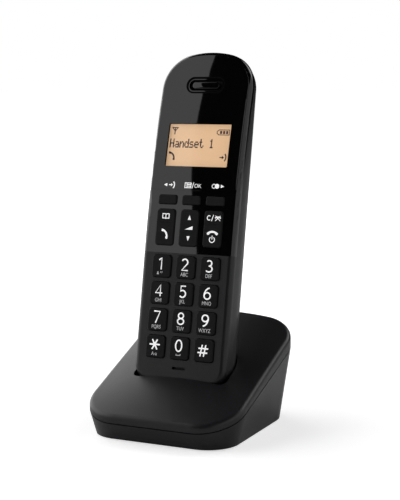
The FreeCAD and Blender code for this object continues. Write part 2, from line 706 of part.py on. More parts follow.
def build_handset_inside():
    """Membrane, board, display, transducers, cells and contacts."""
    behind_keys = s.skin + s.key_slack + s.flange_thick + s.key_travel + 0.2 + 0.4
    board_back = s.handset_board_depth + s.board_thick
    node("keypad_membrane", plate("membrane", 0, 51.5, 38.0, 80.0, 2, behind_keys,
                                  s.handset_board_depth - 0.1), handset_place)
    node("handset_circuit_board", plate("board", 0, 53.0, 39.0, 92.0, 3, s.handset_board_depth,
                                        board_back), handset_place)
    capsule = cylinder("mic_capsule", 6.0, 3.0, 0, s.skin + 0.3, s.mic_level, "y")
    node("microphone", group("microphone", capsule), handset_place)
    middle = (s.screen_low + s.screen_high) / 2
    glass = plate("glass", 0, 0, s.module_width, s.module_height, 0.5, 0, 2.4)
    square_to_face("lcd_module", glass, middle, s.module_depth)
    light = plate("light", 0, 0, s.module_width, s.module_height, 0.5, 2.5, 4.0)
    square_to_face("lcd_backlight", light, middle, s.module_depth)
    screen = plate("mesh", 0, 0, s.ear_width + 2, s.ear_height + 2, 4.0, 0, 0.4)
    square_to_face("earpiece_screen", screen, s.ear_level, 2 * s.skin + 0.1)
    capsule = cylinder("ear_capsule", s.ear_speaker, 3.2, 0, 0.6, 0, "y")
    square_to_face("earpiece_speaker", group("ear_speaker", capsule), s.ear_level, 2 * s.skin)
    ringer_back = s.handset_depth - s.rear_taper * (s.ringer_level + s.ringer_speaker / 2) - s.skin
    ringer = cylinder("ringer_capsule", s.ringer_speaker, 4.0, 0, ringer_back - 5.2,
                      s.ringer_level, "y")
    node("ringer_speaker", group("ringer", ringer), handset_place)
    for side, way in (("left", -1), ("right", 1)):
        x = (s.cell_diameter / 2 + 0.35) * way
        cell = fuse(f"cell_{side}", cylinder(f"can_{side}", s.cell_diameter, s.cell_length - 0.8,
                                             x, s.cell_depth, s.cell_low),
                    cylinder(f"tip_{side}", 3.8, s.cell_length, x, s.cell_depth, s.cell_low))
        node(f"battery_cell_{side}", cell, handset_place)
    troughs = [cylinder(f"trough_{side}", s.cell_diameter + 0.6, s.cell_length + 2.0,
                        (s.cell_diameter / 2 + 0.35) * way, s.cell_depth, s.cell_low - 1.0)
               for side, way in (("left", -1), ("right", 1))]
    tray = box("tray", 2 * s.cell_diameter + 4, s.cell_depth - board_back - 1.0,
               s.cell_length + 6, -s.cell_diameter - 2, board_back + 0.4, s.cell_low - 3.0)
    node("battery_holder", cut("battery_holder", tray, *troughs), handset_place)
    leaves = [box(f"leaf_{side}_{end}", 7.0, 7.0, 0.5, (s.cell_diameter / 2 + 0.35) * way - 3.5,
                  s.cell_depth - 3.5, level)
              for side, way in (("left", -1), ("right", 1))
              for end, level in (("low", s.cell_low - 0.7), ("high", s.cell_low + s.cell_length + 0.2))]
    node("battery_contacts", group("battery_contacts", *leaves), handset_place)
    studs = [box(f"stud_{side}", 3.0, 5.0, 2.4, s.contact_offset * way - 1.5,
                 s.contact_depth - 2.5, 0.5) for side, way in (("left", -1), ("right", 1))]
    node("handset_charge_contacts", group("handset_contacts", *studs), handset_place)
    strip = box("strip", 24.0, 0.4, 6.0, -12.0, 12.0, 128.0)
    node("handset_antenna", group("antenna", strip), handset_place)


# ---------------------------------------------------------------- base forms
seam_place = Placement(Vector(0, -s.base_length.value / 2, s.seam_low.value),
                       Rotation(X_AXIS, s.base_slope.value))


def sloped_length():
    """Length of the seam measured along its slope."""
    return s.base_length / math.cos(math.radians(s.base_slope.value))


def seam_outline(sketch, inset):
    """Draw the seam's outline in its sloping plane, front edge on the X axis."""
    length = sloped_length()
    rounded_rectangle(sketch, 0, length / 2, s.base_width - 2 * size_of(inset),
                      length - 2 * size_of(inset), s.base_front_corner - inset,
                      s.base_back_corner - inset)


def top_form(name, inset, drop, bottom):
    """The space under the crowned top: upright sides, sloping and rising to the middle."""
    slope = math.radians(s.base_slope.value)
    prism = body(name + "_prism")
    plan = new_sketch(prism, name + "_plan", "XY_Plane", bottom)
    seam_outline(plan, inset)
    wall = pad(prism, plan, 100 - size_of(bottom), name=name + "_wall")
    wall.UseCustomVector = True
    wall.Direction = Vector(0, math.sin(slope), math.cos(slope))
    prism.Placement = seam_place
    crown = body(name + "_crown")
    edge = s.skirt * math.cos(slope) - drop
    sections = []
    for k, (along, rise) in enumerate(crown_line()):
        section = new_sketch(crown, f"{name}_crown_{k}", "XZ_Plane", -along)
        crowned_section(section, edge, rise)
        sections.append(section)
    loft = crown.newObject("PartDesign::AdditiveLoft", name + "_loft")
    loft.Profile, loft.Sections = sections[0], sections[1:]
    crown.Placement = seam_place.multiply(
        Placement(Vector(), Rotation(X_AXIS, s.crown_slope.value)))
    return common(name, prism, crown)


def crown_line():
    """Distance from the front edge, and rise of the top's middle there."""
    yield size_of(-3.0), s.crown_front
    yield s.crown_ramp * 0.45, s.crown_rise * 0.62
    yield s.crown_ramp * 1.0, s.crown_rise
    yield s.base_length * 1.25, s.crown_back


def crowned_section(sketch, edge, rise):
    """A deep section under a wide arc, which rises from the sides of the base."""
    side = s.base_width / 2
    radius = (side * side + rise * rise) / (2 * rise)
    half, bottom, top = side + 10, size_of(-70.0), edge + rise
    w, r = half.value, radius.value
    centre = top.value - r
    shoulder = centre + math.sqrt(r * r - w * w)
    angle = math.degrees(math.acos(w / r))
    sketch.addGeometry([
        line(-w, bottom.value, w, bottom.value), line(w, bottom.value, w, shoulder),
        arc(0, centre, r, angle, 180 - angle), line(-w, shoulder, -w, bottom.value),
    ], False)
    join_loop(sketch, 0, 4, smooth=False)
    for edge_number, kind in ((0, "Horizontal"), (1, "Vertical"), (3, "Vertical")):
        sketch.addConstraint(Sketcher.Constraint(kind, edge_number))
    sketch.addConstraint(Sketcher.Constraint("PointOnObject", 2, 3, -2))
    dimension(sketch, Sketcher.Constraint("Radius", 2, r), "crown", radius)
    place(sketch, "DistanceY", 2, 3, centre, "middle", top - radius)
    place(sketch, "DistanceX", 0, 1, -w, "left", -half)
    place(sketch, "DistanceX", 0, 2, w, "right", half)
    place(sketch, "DistanceY", 0, 1, bottom.value, "bottom", bottom)


def seam_reveal():
    """The shadow gap that runs round the base, just above its seam."""
    rings = []
    for name, inset, height in (("reveal_outside", size_of(-2.0), s.reveal_height),
                                ("reveal_inside", s.reveal_depth, s.reveal_height * 3)):
        owner = body(name)
        plan = new_sketch(owner, name + "_plan", "XY_Plane", size_of(0.0))
        seam_outline(plan, inset)
        pad(owner, plan, height, name=name + "_pad")
        owner.Placement = seam_place
        rings.append(owner)
    return cut("reveal", *rings)


def bottom_form(name, inset, floor):
    """The space of the lower shell: it widens from the foot to the seam."""
    inset = size_of(inset)
    owner = body(name)
    foot = new_sketch(owner, name + "_foot", "XY_Plane", floor)
    rounded_rectangle(foot, 0, 0, s.foot_width - 2 * inset, s.foot_length - 2 * inset,
                      s.foot_front_corner - inset, s.foot_back_corner - inset)
    seam = new_sketch(owner, name + "_seam", "XY_Plane", s.seam_low, s.base_slope.value)
    bind(seam, "AttachmentOffset.Base.y", -s.base_length / 2)
    seam_outline(seam, inset)
    loft = owner.newObject("PartDesign::AdditiveLoft", name + "_loft")
    loft.Profile = foot
    loft.Sections = [seam]
    loft.Ruled = True
    return owner


def pocket_form(name, grow, low):
    """A well that follows the handset's cross-section, along the handset."""
    owner = body(name)
    section = new_sketch(owner, name + "_section", "XY_Plane", low)
    gap = s.pocket_gap + grow
    front, back = -gap - 0.1, s.handset_depth + gap
    rounded_rectangle(section, 0, (front + back) / 2, s.handset_width + 2 * gap, back - front,
                      s.pocket_corner + grow, s.pocket_rounding + gap)
    pad(owner, section, 90.0, name=name + "_well")
    owner.Placement = handset_place
    return owner


def handset_box(name, *sizes):
    """A box given in the handset's frame."""
    holder = group(name, box(name + "_box", *sizes))
    holder.Placement = handset_place
    return holder


def screw_places():
    for side, way in (("left", -1), ("right", 1)):
        for end, y in (("front", s.boss_front), ("back", s.boss_back)):
            yield f"{side}_{end}", s.boss_across * way, y


def foot_places():
    for side, way in (("left", -1), ("right", 1)):
        for end, y in (("front", s.boss_front), ("back", s.boss_back)):
            yield f"{side}_{end}", (s.boss_across - 8.5) * way, y


def build_base_top():
    """Top shell with the pocket that holds the handset."""
    outer = top_form("top_outer", 0.0, 0.0, 0.0)
    doc.recompute()
    rounded = doc.addObject("Part::Fillet", "top_rounding")
    rounded.Base = outer
    rounded.Edges = [(i, s.top_edge.value, s.top_edge.value)
                     for i in crown_edges(outer.Shape)]
    wall = cut("top_wall", rounded, top_form("top_inner", s.base_skin, s.base_skin, -5.0))
    under = top_form("top_under", 1.0, 1.0, -60.0)
    tub = common("tub", pocket_form("tub_outer", s.pocket_wall, -s.rest_gap - s.pocket_wall), under)
    bosses = [common(f"boss_{name}", cylinder(f"boss_post_{name}", s.boss_diameter, 60.0, x, y,
                                              s.base_board_level - 2.0), under)
              for name, x, y in screw_places()]
    pilots = [cylinder(f"pilot_{name}", 2.2, 9.0, x, y, s.base_board_level - 3.0)
              for name, x, y in screw_places()]
    holes = [handset_box(f"finger_hole_{side}", 3.0, 5.6, 8.0, s.contact_offset * way - 1.5,
                         s.contact_depth - 2.8, -5.0) for side, way in (("left", -1), ("right", 1))]
    solid = fuse("top_solid", wall, tub, *bosses)
    node("base_top_shell", cut("base_top_shell", solid, pocket_form("pocket", 0.0, -s.rest_gap),
                               seam_reveal(), *pilots, *holes))


def crown_edges(shape):
    """Numbers of the edges round the crowned face."""
    crowned = max((f for f in shape.Faces if facing_up(f)), key=lambda f: f.Area)
    for i, edge in enumerate(shape.Edges, start=1):
        if any(edge.isSame(other) for other in crowned.Edges):
            yield i


def facing_up(face):
    """Tell whether a face's middle faces upwards."""
    low_u, high_u, low_v, high_v = face.ParameterRange
    return face.normalAt((low_u + high_u) / 2, (low_v + high_v) / 2).z > 0.7


def build_base_bottom():
    """Lower shell with its openings, feet and screws."""
    outer = bottom_form("bottom_outer", 0.0, s.pad_proud)
    inner = bottom_form("bottom_inner", s.base_skin, s.pad_proud + s.base_skin)
    seats = [cylinder(f"pad_seat_{name}", s.pad_diameter + 0.3, s.pad_recess + 1, x, y,
                      s.pad_proud - 1) for name, x, y in foot_places()]
    wells = [cylinder(f"screw_well_{name}", 5.6, 2.2, x, y, s.pad_proud - 1)
             for name, x, y in screw_places()]
    ways = [cylinder(f"screw_way_{name}", 2.8, 9.0, x, y, s.pad_proud - 1)
            for name, x, y in screw_places()]
    back = s.socket_face - 8.0
    board_top = s.base_board_level + s.board_thick
    jack = box("jack_hole", s.jack_width + 0.5, 20.0, s.jack_height + 0.5,
               s.jack_across - s.jack_width / 2 - 0.25, back, board_top - 0.25)
    inlet = box("inlet_hole", s.inlet_width + 0.5, 20.0, s.inlet_height + 0.5,
                s.inlet_across - s.inlet_width / 2 - 0.25, back, board_top - 0.25)
    button = back_plate("button_hole", 0, s.button_level, s.button_width + 0.5,
                        s.button_height + 0.5, 2.0, back, s.base_length / 2 + 5)
    posts = [cylinder(f"board_post_{k}", 5.0, s.base_board_level - s.pad_proud - 0.5, x, y,
                      s.pad_proud + 0.5) for k, (x, y) in
             enumerate(((-19.0, -15.0), (19.0, -15.0), (-19.0, 20.0), (19.0, 20.0)))]
    shell = cut("bottom_wall", outer, inner)
    node("base_bottom_shell", cut("base_bottom_shell", fuse("bottom_solid", shell, *posts),
                                  fuse("bottom_openings", *seats, *wells, *ways), jack, inlet,
                                  button))
    pads = [cylinder(f"pad_{name}", s.pad_diameter, s.pad_recess + s.pad_proud, x, y, 0)
            for name, x, y in foot_places()]
    node("base_feet", group("feet", *pads))
    screws = []
    for name, x, y in screw_places():
        head = cylinder(f"head_{name}", 5.0, 1.1, x, y, s.pad_proud + 0.1)
        shank = cylinder(f"shank_{name}", 2.1, 9.5, x, y, s.pad_proud + 0.1)
        cross = [box(f"cross_{name}_{k}", 2.4 if k else 0.6, 0.6 if k else 2.4, 0.8,
                     x - (1.2 if k else 0.3), y - (0.3 if k else 1.2), s.pad_proud) for k in (0, 1)]
        screws.append(cut(f"screw_{name}", fuse(f"screw_{name}", head, shank), *cross))
    node("base_screws", group("screws", *screws))


def back_plate(name, x, z, width, height, radius, near, far, edge=None):
    """A flat piece facing the back of the base, between two values of Y."""
    owner = body(name)
    sketch = new_sketch(owner, name + "_face", "XZ_Plane", -size_of(near))
    rounded_rectangle(sketch, x, z, width, height, radius)
    pad(owner, sketch, size_of(far) - near, backwards=True, name=name + "_pad")
    if edge is not None:
        doc.recompute()
        round_edges(owner, edge, lambda e: on_level(e, "y", size_of(far).value))
    return owner


def build_base_inside():
    """Board, sockets, page button, charge fingers and antenna."""
    board_top = s.base_board_level + s.board_thick
    node("base_circuit_board", box("base_board", 46.0, 55.0, s.board_thick, -23.0, -20.0,
                                   s.base_board_level))
    face = s.socket_face
    jack = box("jack_block", s.jack_width, 14.0, s.jack_height, s.jack_across - s.jack_width / 2,
               face - 14.0, board_top)
    mouth = box("jack_mouth", 9.8, 12.0, 6.8, s.jack_across - 4.9, face - 11.5, board_top + 2.6)
    latch = box("jack_latch", 6.2, 8.0, 1.6, s.jack_across - 3.1, face - 7.5, board_top + 1.2)
    hook = box("jack_hook", 3.2, 8.0, 1.4, s.jack_across - 1.6, face - 7.5, board_top + 0.6)
    node("line_jack", cut("line_jack", jack, fuse("jack_room", mouth, latch, hook)))
    level = board_top + s.inlet_height / 2
    block = box("inlet_block", s.inlet_width, 12.0, s.inlet_height,
                s.inlet_across - s.inlet_width / 2, face - 12.0, board_top)
    bore = cylinder("inlet_bore", 5.6, 10.0, s.inlet_across, face - 9.5, level, "y")
    pin = cylinder("inlet_pin", 1.6, 9.5, s.inlet_across, face - 10.0, level, "y")
    node("power_inlet", fuse("power_inlet", cut("inlet_room", block, bore), pin))
    wall = (s.base_length - s.foot_length) / 2
    seam_high = s.seam_low + s.base_length * math.tan(math.radians(s.base_slope.value))
    outside = s.foot_length / 2 + wall * (s.button_level / seam_high)
    cap = back_plate("page_cap", 0, s.button_level, s.button_width, s.button_height, 1.8,
                     outside - 4.5, outside + 0.8, edge=0.5)
    flange = back_plate("page_flange", 0, s.button_level, s.button_width + 3, s.button_height + 3,
                        2.0, outside - 5.0, outside - 3.4)
    node("page_button", fuse("page_button", cap, flange))
    fingers = [box(f"finger_{side}", 2.0, 4.0, 13.0, s.contact_offset * way - 1.0,
                   s.contact_depth - 2.0, -12.8) for side, way in (("left", -1), ("right", 1))]
    node("base_charge_contacts", group("base_contacts", *fingers), handset_place)
    strip = box("base_strip", 0.5, 22.0, 7.0, -21.0, -12.0, board_top)
    node("base_antenna", group("base_antenna_strip", strip))


def check():
    """Stop unless every object was worked out and every sub-part is sound."""
    doc.recompute()
    for item in doc.Objects:
        if {"Invalid", "Error"} & set(item.State):
            raise RuntimeError(f"{item.Name} failed: {item.State}")
    for name, item in nodes.items():
        if item.Shape.isNull() or not item.Shape.isValid() or not item.Shape.Solids:
            raise RuntimeError(f"{name} has no sound shape")


build_front()
build_rear()
build_keys()
build_handset_inside()
build_base_top()
build_base_bottom()
build_base_inside()
check()
os.makedirs("parts", exist_ok=True)
for name, item in nodes.items():
    item.Shape.exportStep(f"parts/{name}.step")
    print(name, len(item.Shape.Solids), round(item.Shape.Volume, 1))
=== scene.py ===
"""Looks of a cordless telephone that stands in its charging base.

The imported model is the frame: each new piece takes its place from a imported
node, in metres, and rides on that node's body. Pieces of the handset are
modelled upright in the handset's own frame (X across, Y back from the face, Z
along its length) and then lean back with it.
"""
from __future__ import annotations

import json
import logging
import math
from collections.abc import Callable, Iterable, Sequence
from dataclasses import dataclass, field
from enum import Enum

import bpy
from mathutils import Matrix, Vector

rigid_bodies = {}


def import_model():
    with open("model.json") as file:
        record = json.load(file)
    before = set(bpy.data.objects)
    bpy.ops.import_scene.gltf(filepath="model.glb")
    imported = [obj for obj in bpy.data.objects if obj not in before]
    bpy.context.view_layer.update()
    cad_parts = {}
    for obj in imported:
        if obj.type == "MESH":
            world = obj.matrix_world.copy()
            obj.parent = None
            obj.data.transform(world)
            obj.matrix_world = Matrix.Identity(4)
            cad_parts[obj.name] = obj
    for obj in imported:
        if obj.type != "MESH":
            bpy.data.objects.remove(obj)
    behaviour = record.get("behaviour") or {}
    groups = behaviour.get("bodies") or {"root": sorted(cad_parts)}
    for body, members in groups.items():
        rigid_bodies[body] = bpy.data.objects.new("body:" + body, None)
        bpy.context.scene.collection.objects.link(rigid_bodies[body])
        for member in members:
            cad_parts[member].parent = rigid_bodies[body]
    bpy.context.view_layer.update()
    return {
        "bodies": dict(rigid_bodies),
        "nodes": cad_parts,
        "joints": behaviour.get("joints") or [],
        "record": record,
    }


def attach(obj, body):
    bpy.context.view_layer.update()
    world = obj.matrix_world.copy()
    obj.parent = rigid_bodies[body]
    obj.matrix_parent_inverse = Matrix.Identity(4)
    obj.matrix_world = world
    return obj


LOG = logging.getLogger("telephone")
MM = 0.001
LIFT = 0.004 * MM  # how far a print stands off its surface
TOUCH = 1e-7  # how near to each other two places count as one
IN_FRONT = 0.1  # how far in front of the handset nothing stands in the way
PIT_DEPTH = 0.1 * MM  # how deep a full-strength texture is
PIT_TONE = 0.6  # how much of the texture shows in a surface's tone
CORNER_STEPS = 10  # facets round a plate's corner
EASE_STEPS = 3  # facets round its eased edge
LIGHT_POWER = 4.0  # power of a square metre of light that looks white
Colour = tuple[float, float, float]
Place = tuple[float, float, float]
Point = tuple[float, float]
Loop = list[Point]
Nodes = dict[str, bpy.types.Object]


# ---------------------------------------------------------------- shared effects
def new_group(name: str, given: Sequence[tuple[str, str]],
              made: Sequence[tuple[str, str]]) -> bpy.types.NodeTree:
    """Start a shader node group.

    Args:
        name: What the group is called.
        given: Name and kind of each input.
        made: Name and kind of each output.

    Returns:
        The group, with its sockets and an input and an output node.
    """
    tree = bpy.data.node_groups.new(name, "ShaderNodeTree")
    for way, sockets in (("INPUT", given), ("OUTPUT", made)):
        for title, kind in sockets:
            tree.interface.new_socket(title, in_out=way, socket_type="NodeSocket" + kind)
    tree.nodes.new("NodeGroupInput")
    tree.nodes.new("NodeGroupOutput")
    return tree


def sum_up(tree: bpy.types.NodeTree, operation: str,
           *terms: float | bpy.types.NodeSocket) -> bpy.types.NodeSocket:
    """Add a Math node to a tree.

    Args:
        tree: The tree.
        operation: What the node does.
        *terms: Its inputs, each a number or another node's output.

    Returns:
        The node's output.
    """
    node = tree.nodes.new("ShaderNodeMath")
    node.operation = operation
    for socket, term in zip(node.inputs, terms):
        if isinstance(term, bpy.types.NodeSocket):
            tree.links.new(term, socket)
        else:
            socket.default_value = term
    return node.outputs[0]


def moulded_group() -> bpy.types.NodeTree:
    """Build, once, the group that gives a moulded surface its texture.

    Returns:
        The group. Bite is how many pits a metre holds, Cloud how much the
        tone drifts, Sheen how much the gloss drifts with it.
    """
    known = bpy.data.node_groups.get("moulded_surface")
    if known:
        return known
    tree = new_group("moulded_surface",
                     (("Colour", "Color"), ("Roughness", "Float"), ("Bite", "Float"),
                      ("Cloud", "Float"), ("Sheen", "Float")),
                     (("Colour", "Color"), ("Roughness", "Float"), ("Height", "Float")))
    nodes, links = tree.nodes, tree.links
    given, made = nodes["Group Input"].outputs, nodes["Group Output"].inputs
    place = nodes.new("ShaderNodeTexCoord").outputs["Object"]
    pits = nodes.new("ShaderNodeTexNoise")
    pits.inputs["Detail"].default_value = 2.5
    pits.inputs["Roughness"].default_value = 0.6
    flow = nodes.new("ShaderNodeTexNoise")
    flow.inputs["Scale"].default_value = 46.0
    flow.inputs["Detail"].default_value = 3.0
    for texture in (pits, flow):
        links.new(place, texture.inputs["Vector"])
    links.new(given["Bite"], pits.inputs["Scale"])
    drift = sum_up(tree, "SUBTRACT", flow.outputs["Fac"], 0.5)
    spark = sum_up(tree, "SUBTRACT", pits.outputs["Fac"], 0.5)
    both = sum_up(tree, "ADD", drift, sum_up(tree, "MULTIPLY", spark, PIT_TONE))
    lift = sum_up(tree, "ADD", sum_up(tree, "MULTIPLY", both, given["Cloud"]), 1.0)
    shade = nodes.new("ShaderNodeVectorMath")
    shade.operation = "SCALE"
    links.new(given["Colour"], shade.inputs[0])
    links.new(lift, shade.inputs["Scale"])
    gloss = sum_up(tree, "ADD", sum_up(tree, "MULTIPLY", drift, given["Sheen"]), 1.0)
    links.new(shade.outputs["Vector"], made["Colour"])
    links.new(sum_up(tree, "MULTIPLY", given["Roughness"], gloss), made["Roughness"])
    links.new(pits.outputs["Fac"], made["Height"])
    return tree


def window_group() -> bpy.types.NodeTree:
    """Build, once, the group that masks a window with rounded corners.

    Returns:
        The group. Vector is a point measured from the window's middle, X
        across and Z up; Clear is 1 inside the window and 0 outside.
    """
    known = bpy.data.node_groups.get("window_mask")
    if known:
        return known
    tree = new_group("window_mask",
                     (("Vector", "Vector"), ("Width", "Float"), ("Height", "Float"),
                      ("Corner", "Float")), (("Clear", "Float"),))
    nodes, links = tree.nodes, tree.links
    given = nodes["Group Input"].outputs
    split = nodes.new("ShaderNodeSeparateXYZ")
    links.new(given["Vector"], split.inputs[0])
    beyond = []
    for axis, size in (("X", "Width"), ("Z", "Height")):
        straight = sum_up(tree, "SUBTRACT", sum_up(tree, "MULTIPLY", given[size], 0.5),
                          given["Corner"])
        past = sum_up(tree, "SUBTRACT", sum_up(tree, "ABSOLUTE", split.outputs[axis]), straight)
        beyond.append(sum_up(tree, "POWER", sum_up(tree, "MAXIMUM", past, 0.0), 2.0))
    away = sum_up(tree, "SQRT", sum_up(tree, "ADD", *beyond))
    links.new(sum_up(tree, "LESS_THAN", away, given["Corner"]),
              nodes["Group Output"].inputs["Clear"])
    return tree


# ---------------------------------------------------------------- finishes
class Bite(Enum):
    """How coarse a surface's texture is, in pits per metre."""

    SPARK = 3100.0
    SATIN = 5200.0
    RUBBER = 1900.0
    POLISHED = 700.0
    WIPED = 1300.0


@dataclass(frozen=True)
class Finish:
    """A surface: its colour, gloss and texture.

    Attributes:
        name: What the finish is called.
        colour: Its colour.
        roughness: How rough it is.
        bite: How coarse its texture is.
        depth: How strongly its texture stands out.
        cloud: How much its tone drifts.
        sheen: How much its gloss drifts.
        specular: How strongly it mirrors.
        metallic: 1 for bare metal.
        glow: How strongly it shines by itself.
    """

    name: str
    colour: Colour
    roughness: float
    bite: Bite = Bite.SATIN
    depth: float = 0.1
    cloud: float = 0.3
    sheen: float = 0.25
    specular: float = 0.5
    metallic: float = 0.0
    # glow: How strongly it shines by itself: the backlit display's own light, and painted light on
    # the inks.
    glow: float = 0.0

    def material(self) -> bpy.types.Material:
        """Build the material, or find it where it is built already.

        Returns:
            The material.
        """
        known = bpy.data.materials.get(self.name)
        if known:
            return known
        made = bpy.data.materials.new(self.name)
        made.use_nodes = True
        tree = made.node_tree
        shader = tree.nodes["Principled BSDF"]
        shader.inputs["Specular IOR Level"].default_value = self.specular
        shader.inputs["Metallic"].default_value = self.metallic
        surface = tree.nodes.new("ShaderNodeGroup")
        surface.node_tree = moulded_group()
        for title, value in (("Colour", (*self.colour, 1.0)), ("Roughness", self.roughness),
                             ("Bite", self.bite.value), ("Cloud", self.cloud),
                             ("Sheen", self.sheen)):
            surface.inputs[title].default_value = value
        bump = tree.nodes.new("ShaderNodeBump")
        bump.inputs["Strength"].default_value = self.depth
        bump.inputs["Distance"].default_value = PIT_DEPTH
        tree.links.new(surface.outputs["Height"], bump.inputs["Height"])
        tree.links.new(bump.outputs["Normal"], shader.inputs["Normal"])
        tree.links.new(surface.outputs["Roughness"], shader.inputs["Roughness"])
        tree.links.new(surface.outputs["Colour"], shader.inputs["Base Color"])
        # Emission: the backlit display's own light; on the inks it is painted light.
        if self.glow:
            tree.links.new(surface.outputs["Colour"], shader.inputs["Emission Color"])
            shader.inputs["Emission Strength"].default_value = self.glow
        return made

    def dress(self, *pieces: bpy.types.Object) -> None:
        """Give pieces this finish all over.

        Args:
            *pieces: The pieces.
        """
        for piece in pieces:
            piece.data.materials.clear()
            piece.data.materials.append(self.material())


@dataclass(frozen=True)
class PrintedLens(Finish):
    """A polished lens, black behind except for its window.

    Attributes:
        middle: The window's middle.
        lean: How far the lens leans back, in radians.
        size: The window's width and height.
        corner: The radius of its corners.
        film: How much the clear plastic dims the window.
    """

    middle: Place = (0.0, 0.0, 0.0)
    lean: float = 0.0
    size: Point = (0.0329, 0.021)
    corner: float = 0.0006
    film: float = 0.03

    def material(self) -> bpy.types.Material:
        """Build the polished black material and clear its window.

        Returns:
            The material.
        """
        made = super().material()
        tree = made.node_tree
        if "window" in tree.nodes:
            return made
        place = tree.nodes.new("ShaderNodeTexCoord")
        upright = tree.nodes.new("ShaderNodeMapping")
        upright.vector_type = "TEXTURE"
        upright.inputs["Location"].default_value = self.middle
        upright.inputs["Rotation"].default_value = (-self.lean, 0.0, 0.0)
        window = tree.nodes.new("ShaderNodeGroup")
        window.name = "window"
        window.node_tree = window_group()
        window.inputs["Width"].default_value = self.size[0]
        window.inputs["Height"].default_value = self.size[1]
        window.inputs["Corner"].default_value = self.corner
        tree.links.new(place.outputs["Object"], upright.inputs["Vector"])
        tree.links.new(upright.outputs["Vector"], window.inputs["Vector"])
        solid = sum_up(tree, "SUBTRACT", 1.0,
                       sum_up(tree, "MULTIPLY", window.outputs["Clear"], 1.0 - self.film))
        tree.links.new(solid, tree.nodes["Principled BSDF"].inputs["Alpha"])
        return made


CASE = Finish("case_plastic", (0.0080, 0.0075, 0.0092), 0.36, Bite.SPARK, depth=0.25,
              specular=0.36)
KEY_TOP = Finish("key_plastic", (0.0056, 0.0053, 0.0060), 0.50, Bite.SATIN, depth=0.25,
                 specular=0.15)
PIANO = Finish("piano_plastic", (0.0012, 0.0010, 0.0012), 0.015, Bite.POLISHED, depth=0.002,
               sheen=0.4)
# Painted shade: a near-black matte ring round the earpiece slot stands in for the shade in the
# slot's chamfer.
CHAMFER_SHADE = Finish("soft_gasket", (0.0015, 0.0015, 0.0015), 0.8, Bite.RUBBER, depth=0.2,
                specular=0.05)
INNER = Finish("inner_plastic", (0.012, 0.012, 0.012), 0.55, Bite.SPARK, depth=0.2)
PADS = Finish("foot_rubber", (0.032, 0.031, 0.030), 0.78, Bite.RUBBER, depth=0.5, cloud=0.6)
MEMBRANE = Finish("membrane_rubber", (0.30, 0.30, 0.31), 0.7, Bite.RUBBER, depth=0.3)
BOARD = Finish("solder_resist", (0.02, 0.14, 0.06), 0.35, Bite.WIPED, depth=0.1, cloud=0.5)
STEEL = Finish("pressed_steel", (0.56, 0.56, 0.58), 0.3, Bite.WIPED, depth=0.08, metallic=1.0)
GILT = Finish("gold_flash", (0.78, 0.60, 0.32), 0.22, Bite.WIPED, depth=0.05, metallic=1.0)
SLEEVE = Finish("cell_sleeve", (0.04, 0.24, 0.16), 0.3, Bite.POLISHED, depth=0.05)
DIFFUSER = Finish("light_diffuser", (0.80, 0.78, 0.72), 0.4, Bite.SATIN, depth=0.05)
CLOTH = Finish("screen_cloth", (0.006, 0.006, 0.006), 0.85, Bite.RUBBER, depth=0.8, cloud=0.8)
AMBER = Finish("amber_display", (0.66, 0.43, 0.255), 0.06, Bite.WIPED, depth=0.01, cloud=0.06,
               glow=0.73)
CRYSTAL = Finish("dark_crystal", (0.045, 0.012, 0.028), 0.3, Bite.WIPED, depth=0.02, cloud=0.3)
# The inks glow a little by themselves: painted light that makes the prints as bright as lit white
# ink.
INK_PAINTED_GLOW = Finish("white_ink", (0.86, 0.86, 0.86), 0.5, Bite.SATIN, depth=0.05, cloud=0.1, glow=0.55)
GREY_INK_PAINTED_GLOW = Finish("grey_ink", (0.52, 0.52, 0.53), 0.5, Bite.SATIN, depth=0.05, cloud=0.2,
                  glow=0.30)


# ---------------------------------------------------------------- modelling
def nothing_selected() -> None:
    """Deselect every object."""
    bpy.ops.object.select_all(action="DESELECT")


def only(*pieces: bpy.types.Object) -> None:
    """Select just these pieces, the first of them active.

    Args:
        *pieces: The pieces.
    """
    nothing_selected()
    for piece in pieces:
        piece.select_set(True)
    bpy.context.view_layer.objects.active = pieces[0]


def bake_place(piece: bpy.types.Object, place: Matrix) -> bpy.types.Object:
    """Move a piece to its place and put that place in its mesh.

    Args:
        piece: The piece, still where it was modelled.
        place: Where it goes.

    Returns:
        The piece, with its object at the origin.
    """
    piece.matrix_world = place @ piece.matrix_world
    only(piece)
    bpy.ops.object.transform_apply(location=True, rotation=True, scale=True)
    return piece


def join(name: str, parts: Sequence[bpy.types.Object]) -> bpy.types.Object:
    """Join parts into one piece.

    Args:
        name: What the piece is called.
        parts: The parts, all meshes.

    Returns:
        The piece.
    """
    only(*parts)
    if len(parts) > 1:
        bpy.ops.object.join()
    piece = bpy.context.object
    piece.name = piece.data.name = name
    return piece


def pill(name: str, size: Point, corner: float, front: float, back: float,
         edge: float) -> bpy.types.Object:
    """Model an upright plate with round corners and an eased front edge.

    Args:
        name: What the plate is called.
        size: Its width and height.
        corner: The radius of its corners.
        front: How far back its front is.
        back: How far back its back is.
        edge: How much its front edge is eased.

    Returns:
        The plate, its middle on the Y axis.
    """
    nothing_selected()
    bpy.ops.mesh.primitive_cube_add(size=1.0, location=(0.0, (front + back) / 2, 0.0),
                                    scale=(size[0], back - front, size[1]))
    bpy.ops.object.transform_apply(location=True, rotation=True, scale=True)
    plate = bpy.context.object
    plate.name = plate.data.name = name
    choose(plate, "edges", lambda ends: abs(ends[0].x - ends[1].x) < TOUCH
           and abs(ends[0].z - ends[1].z) < TOUCH)
    bpy.ops.mesh.bevel(offset=corner, segments=CORNER_STEPS, affect="EDGES")
    bpy.ops.object.mode_set(mode="OBJECT")
    if edge:
        choose(plate, "edges", lambda ends: all(abs(p.y - front) < TOUCH for p in ends))
        bpy.ops.mesh.bevel(offset=edge, segments=EASE_STEPS, affect="EDGES")
        bpy.ops.object.mode_set(mode="OBJECT")
    return plate


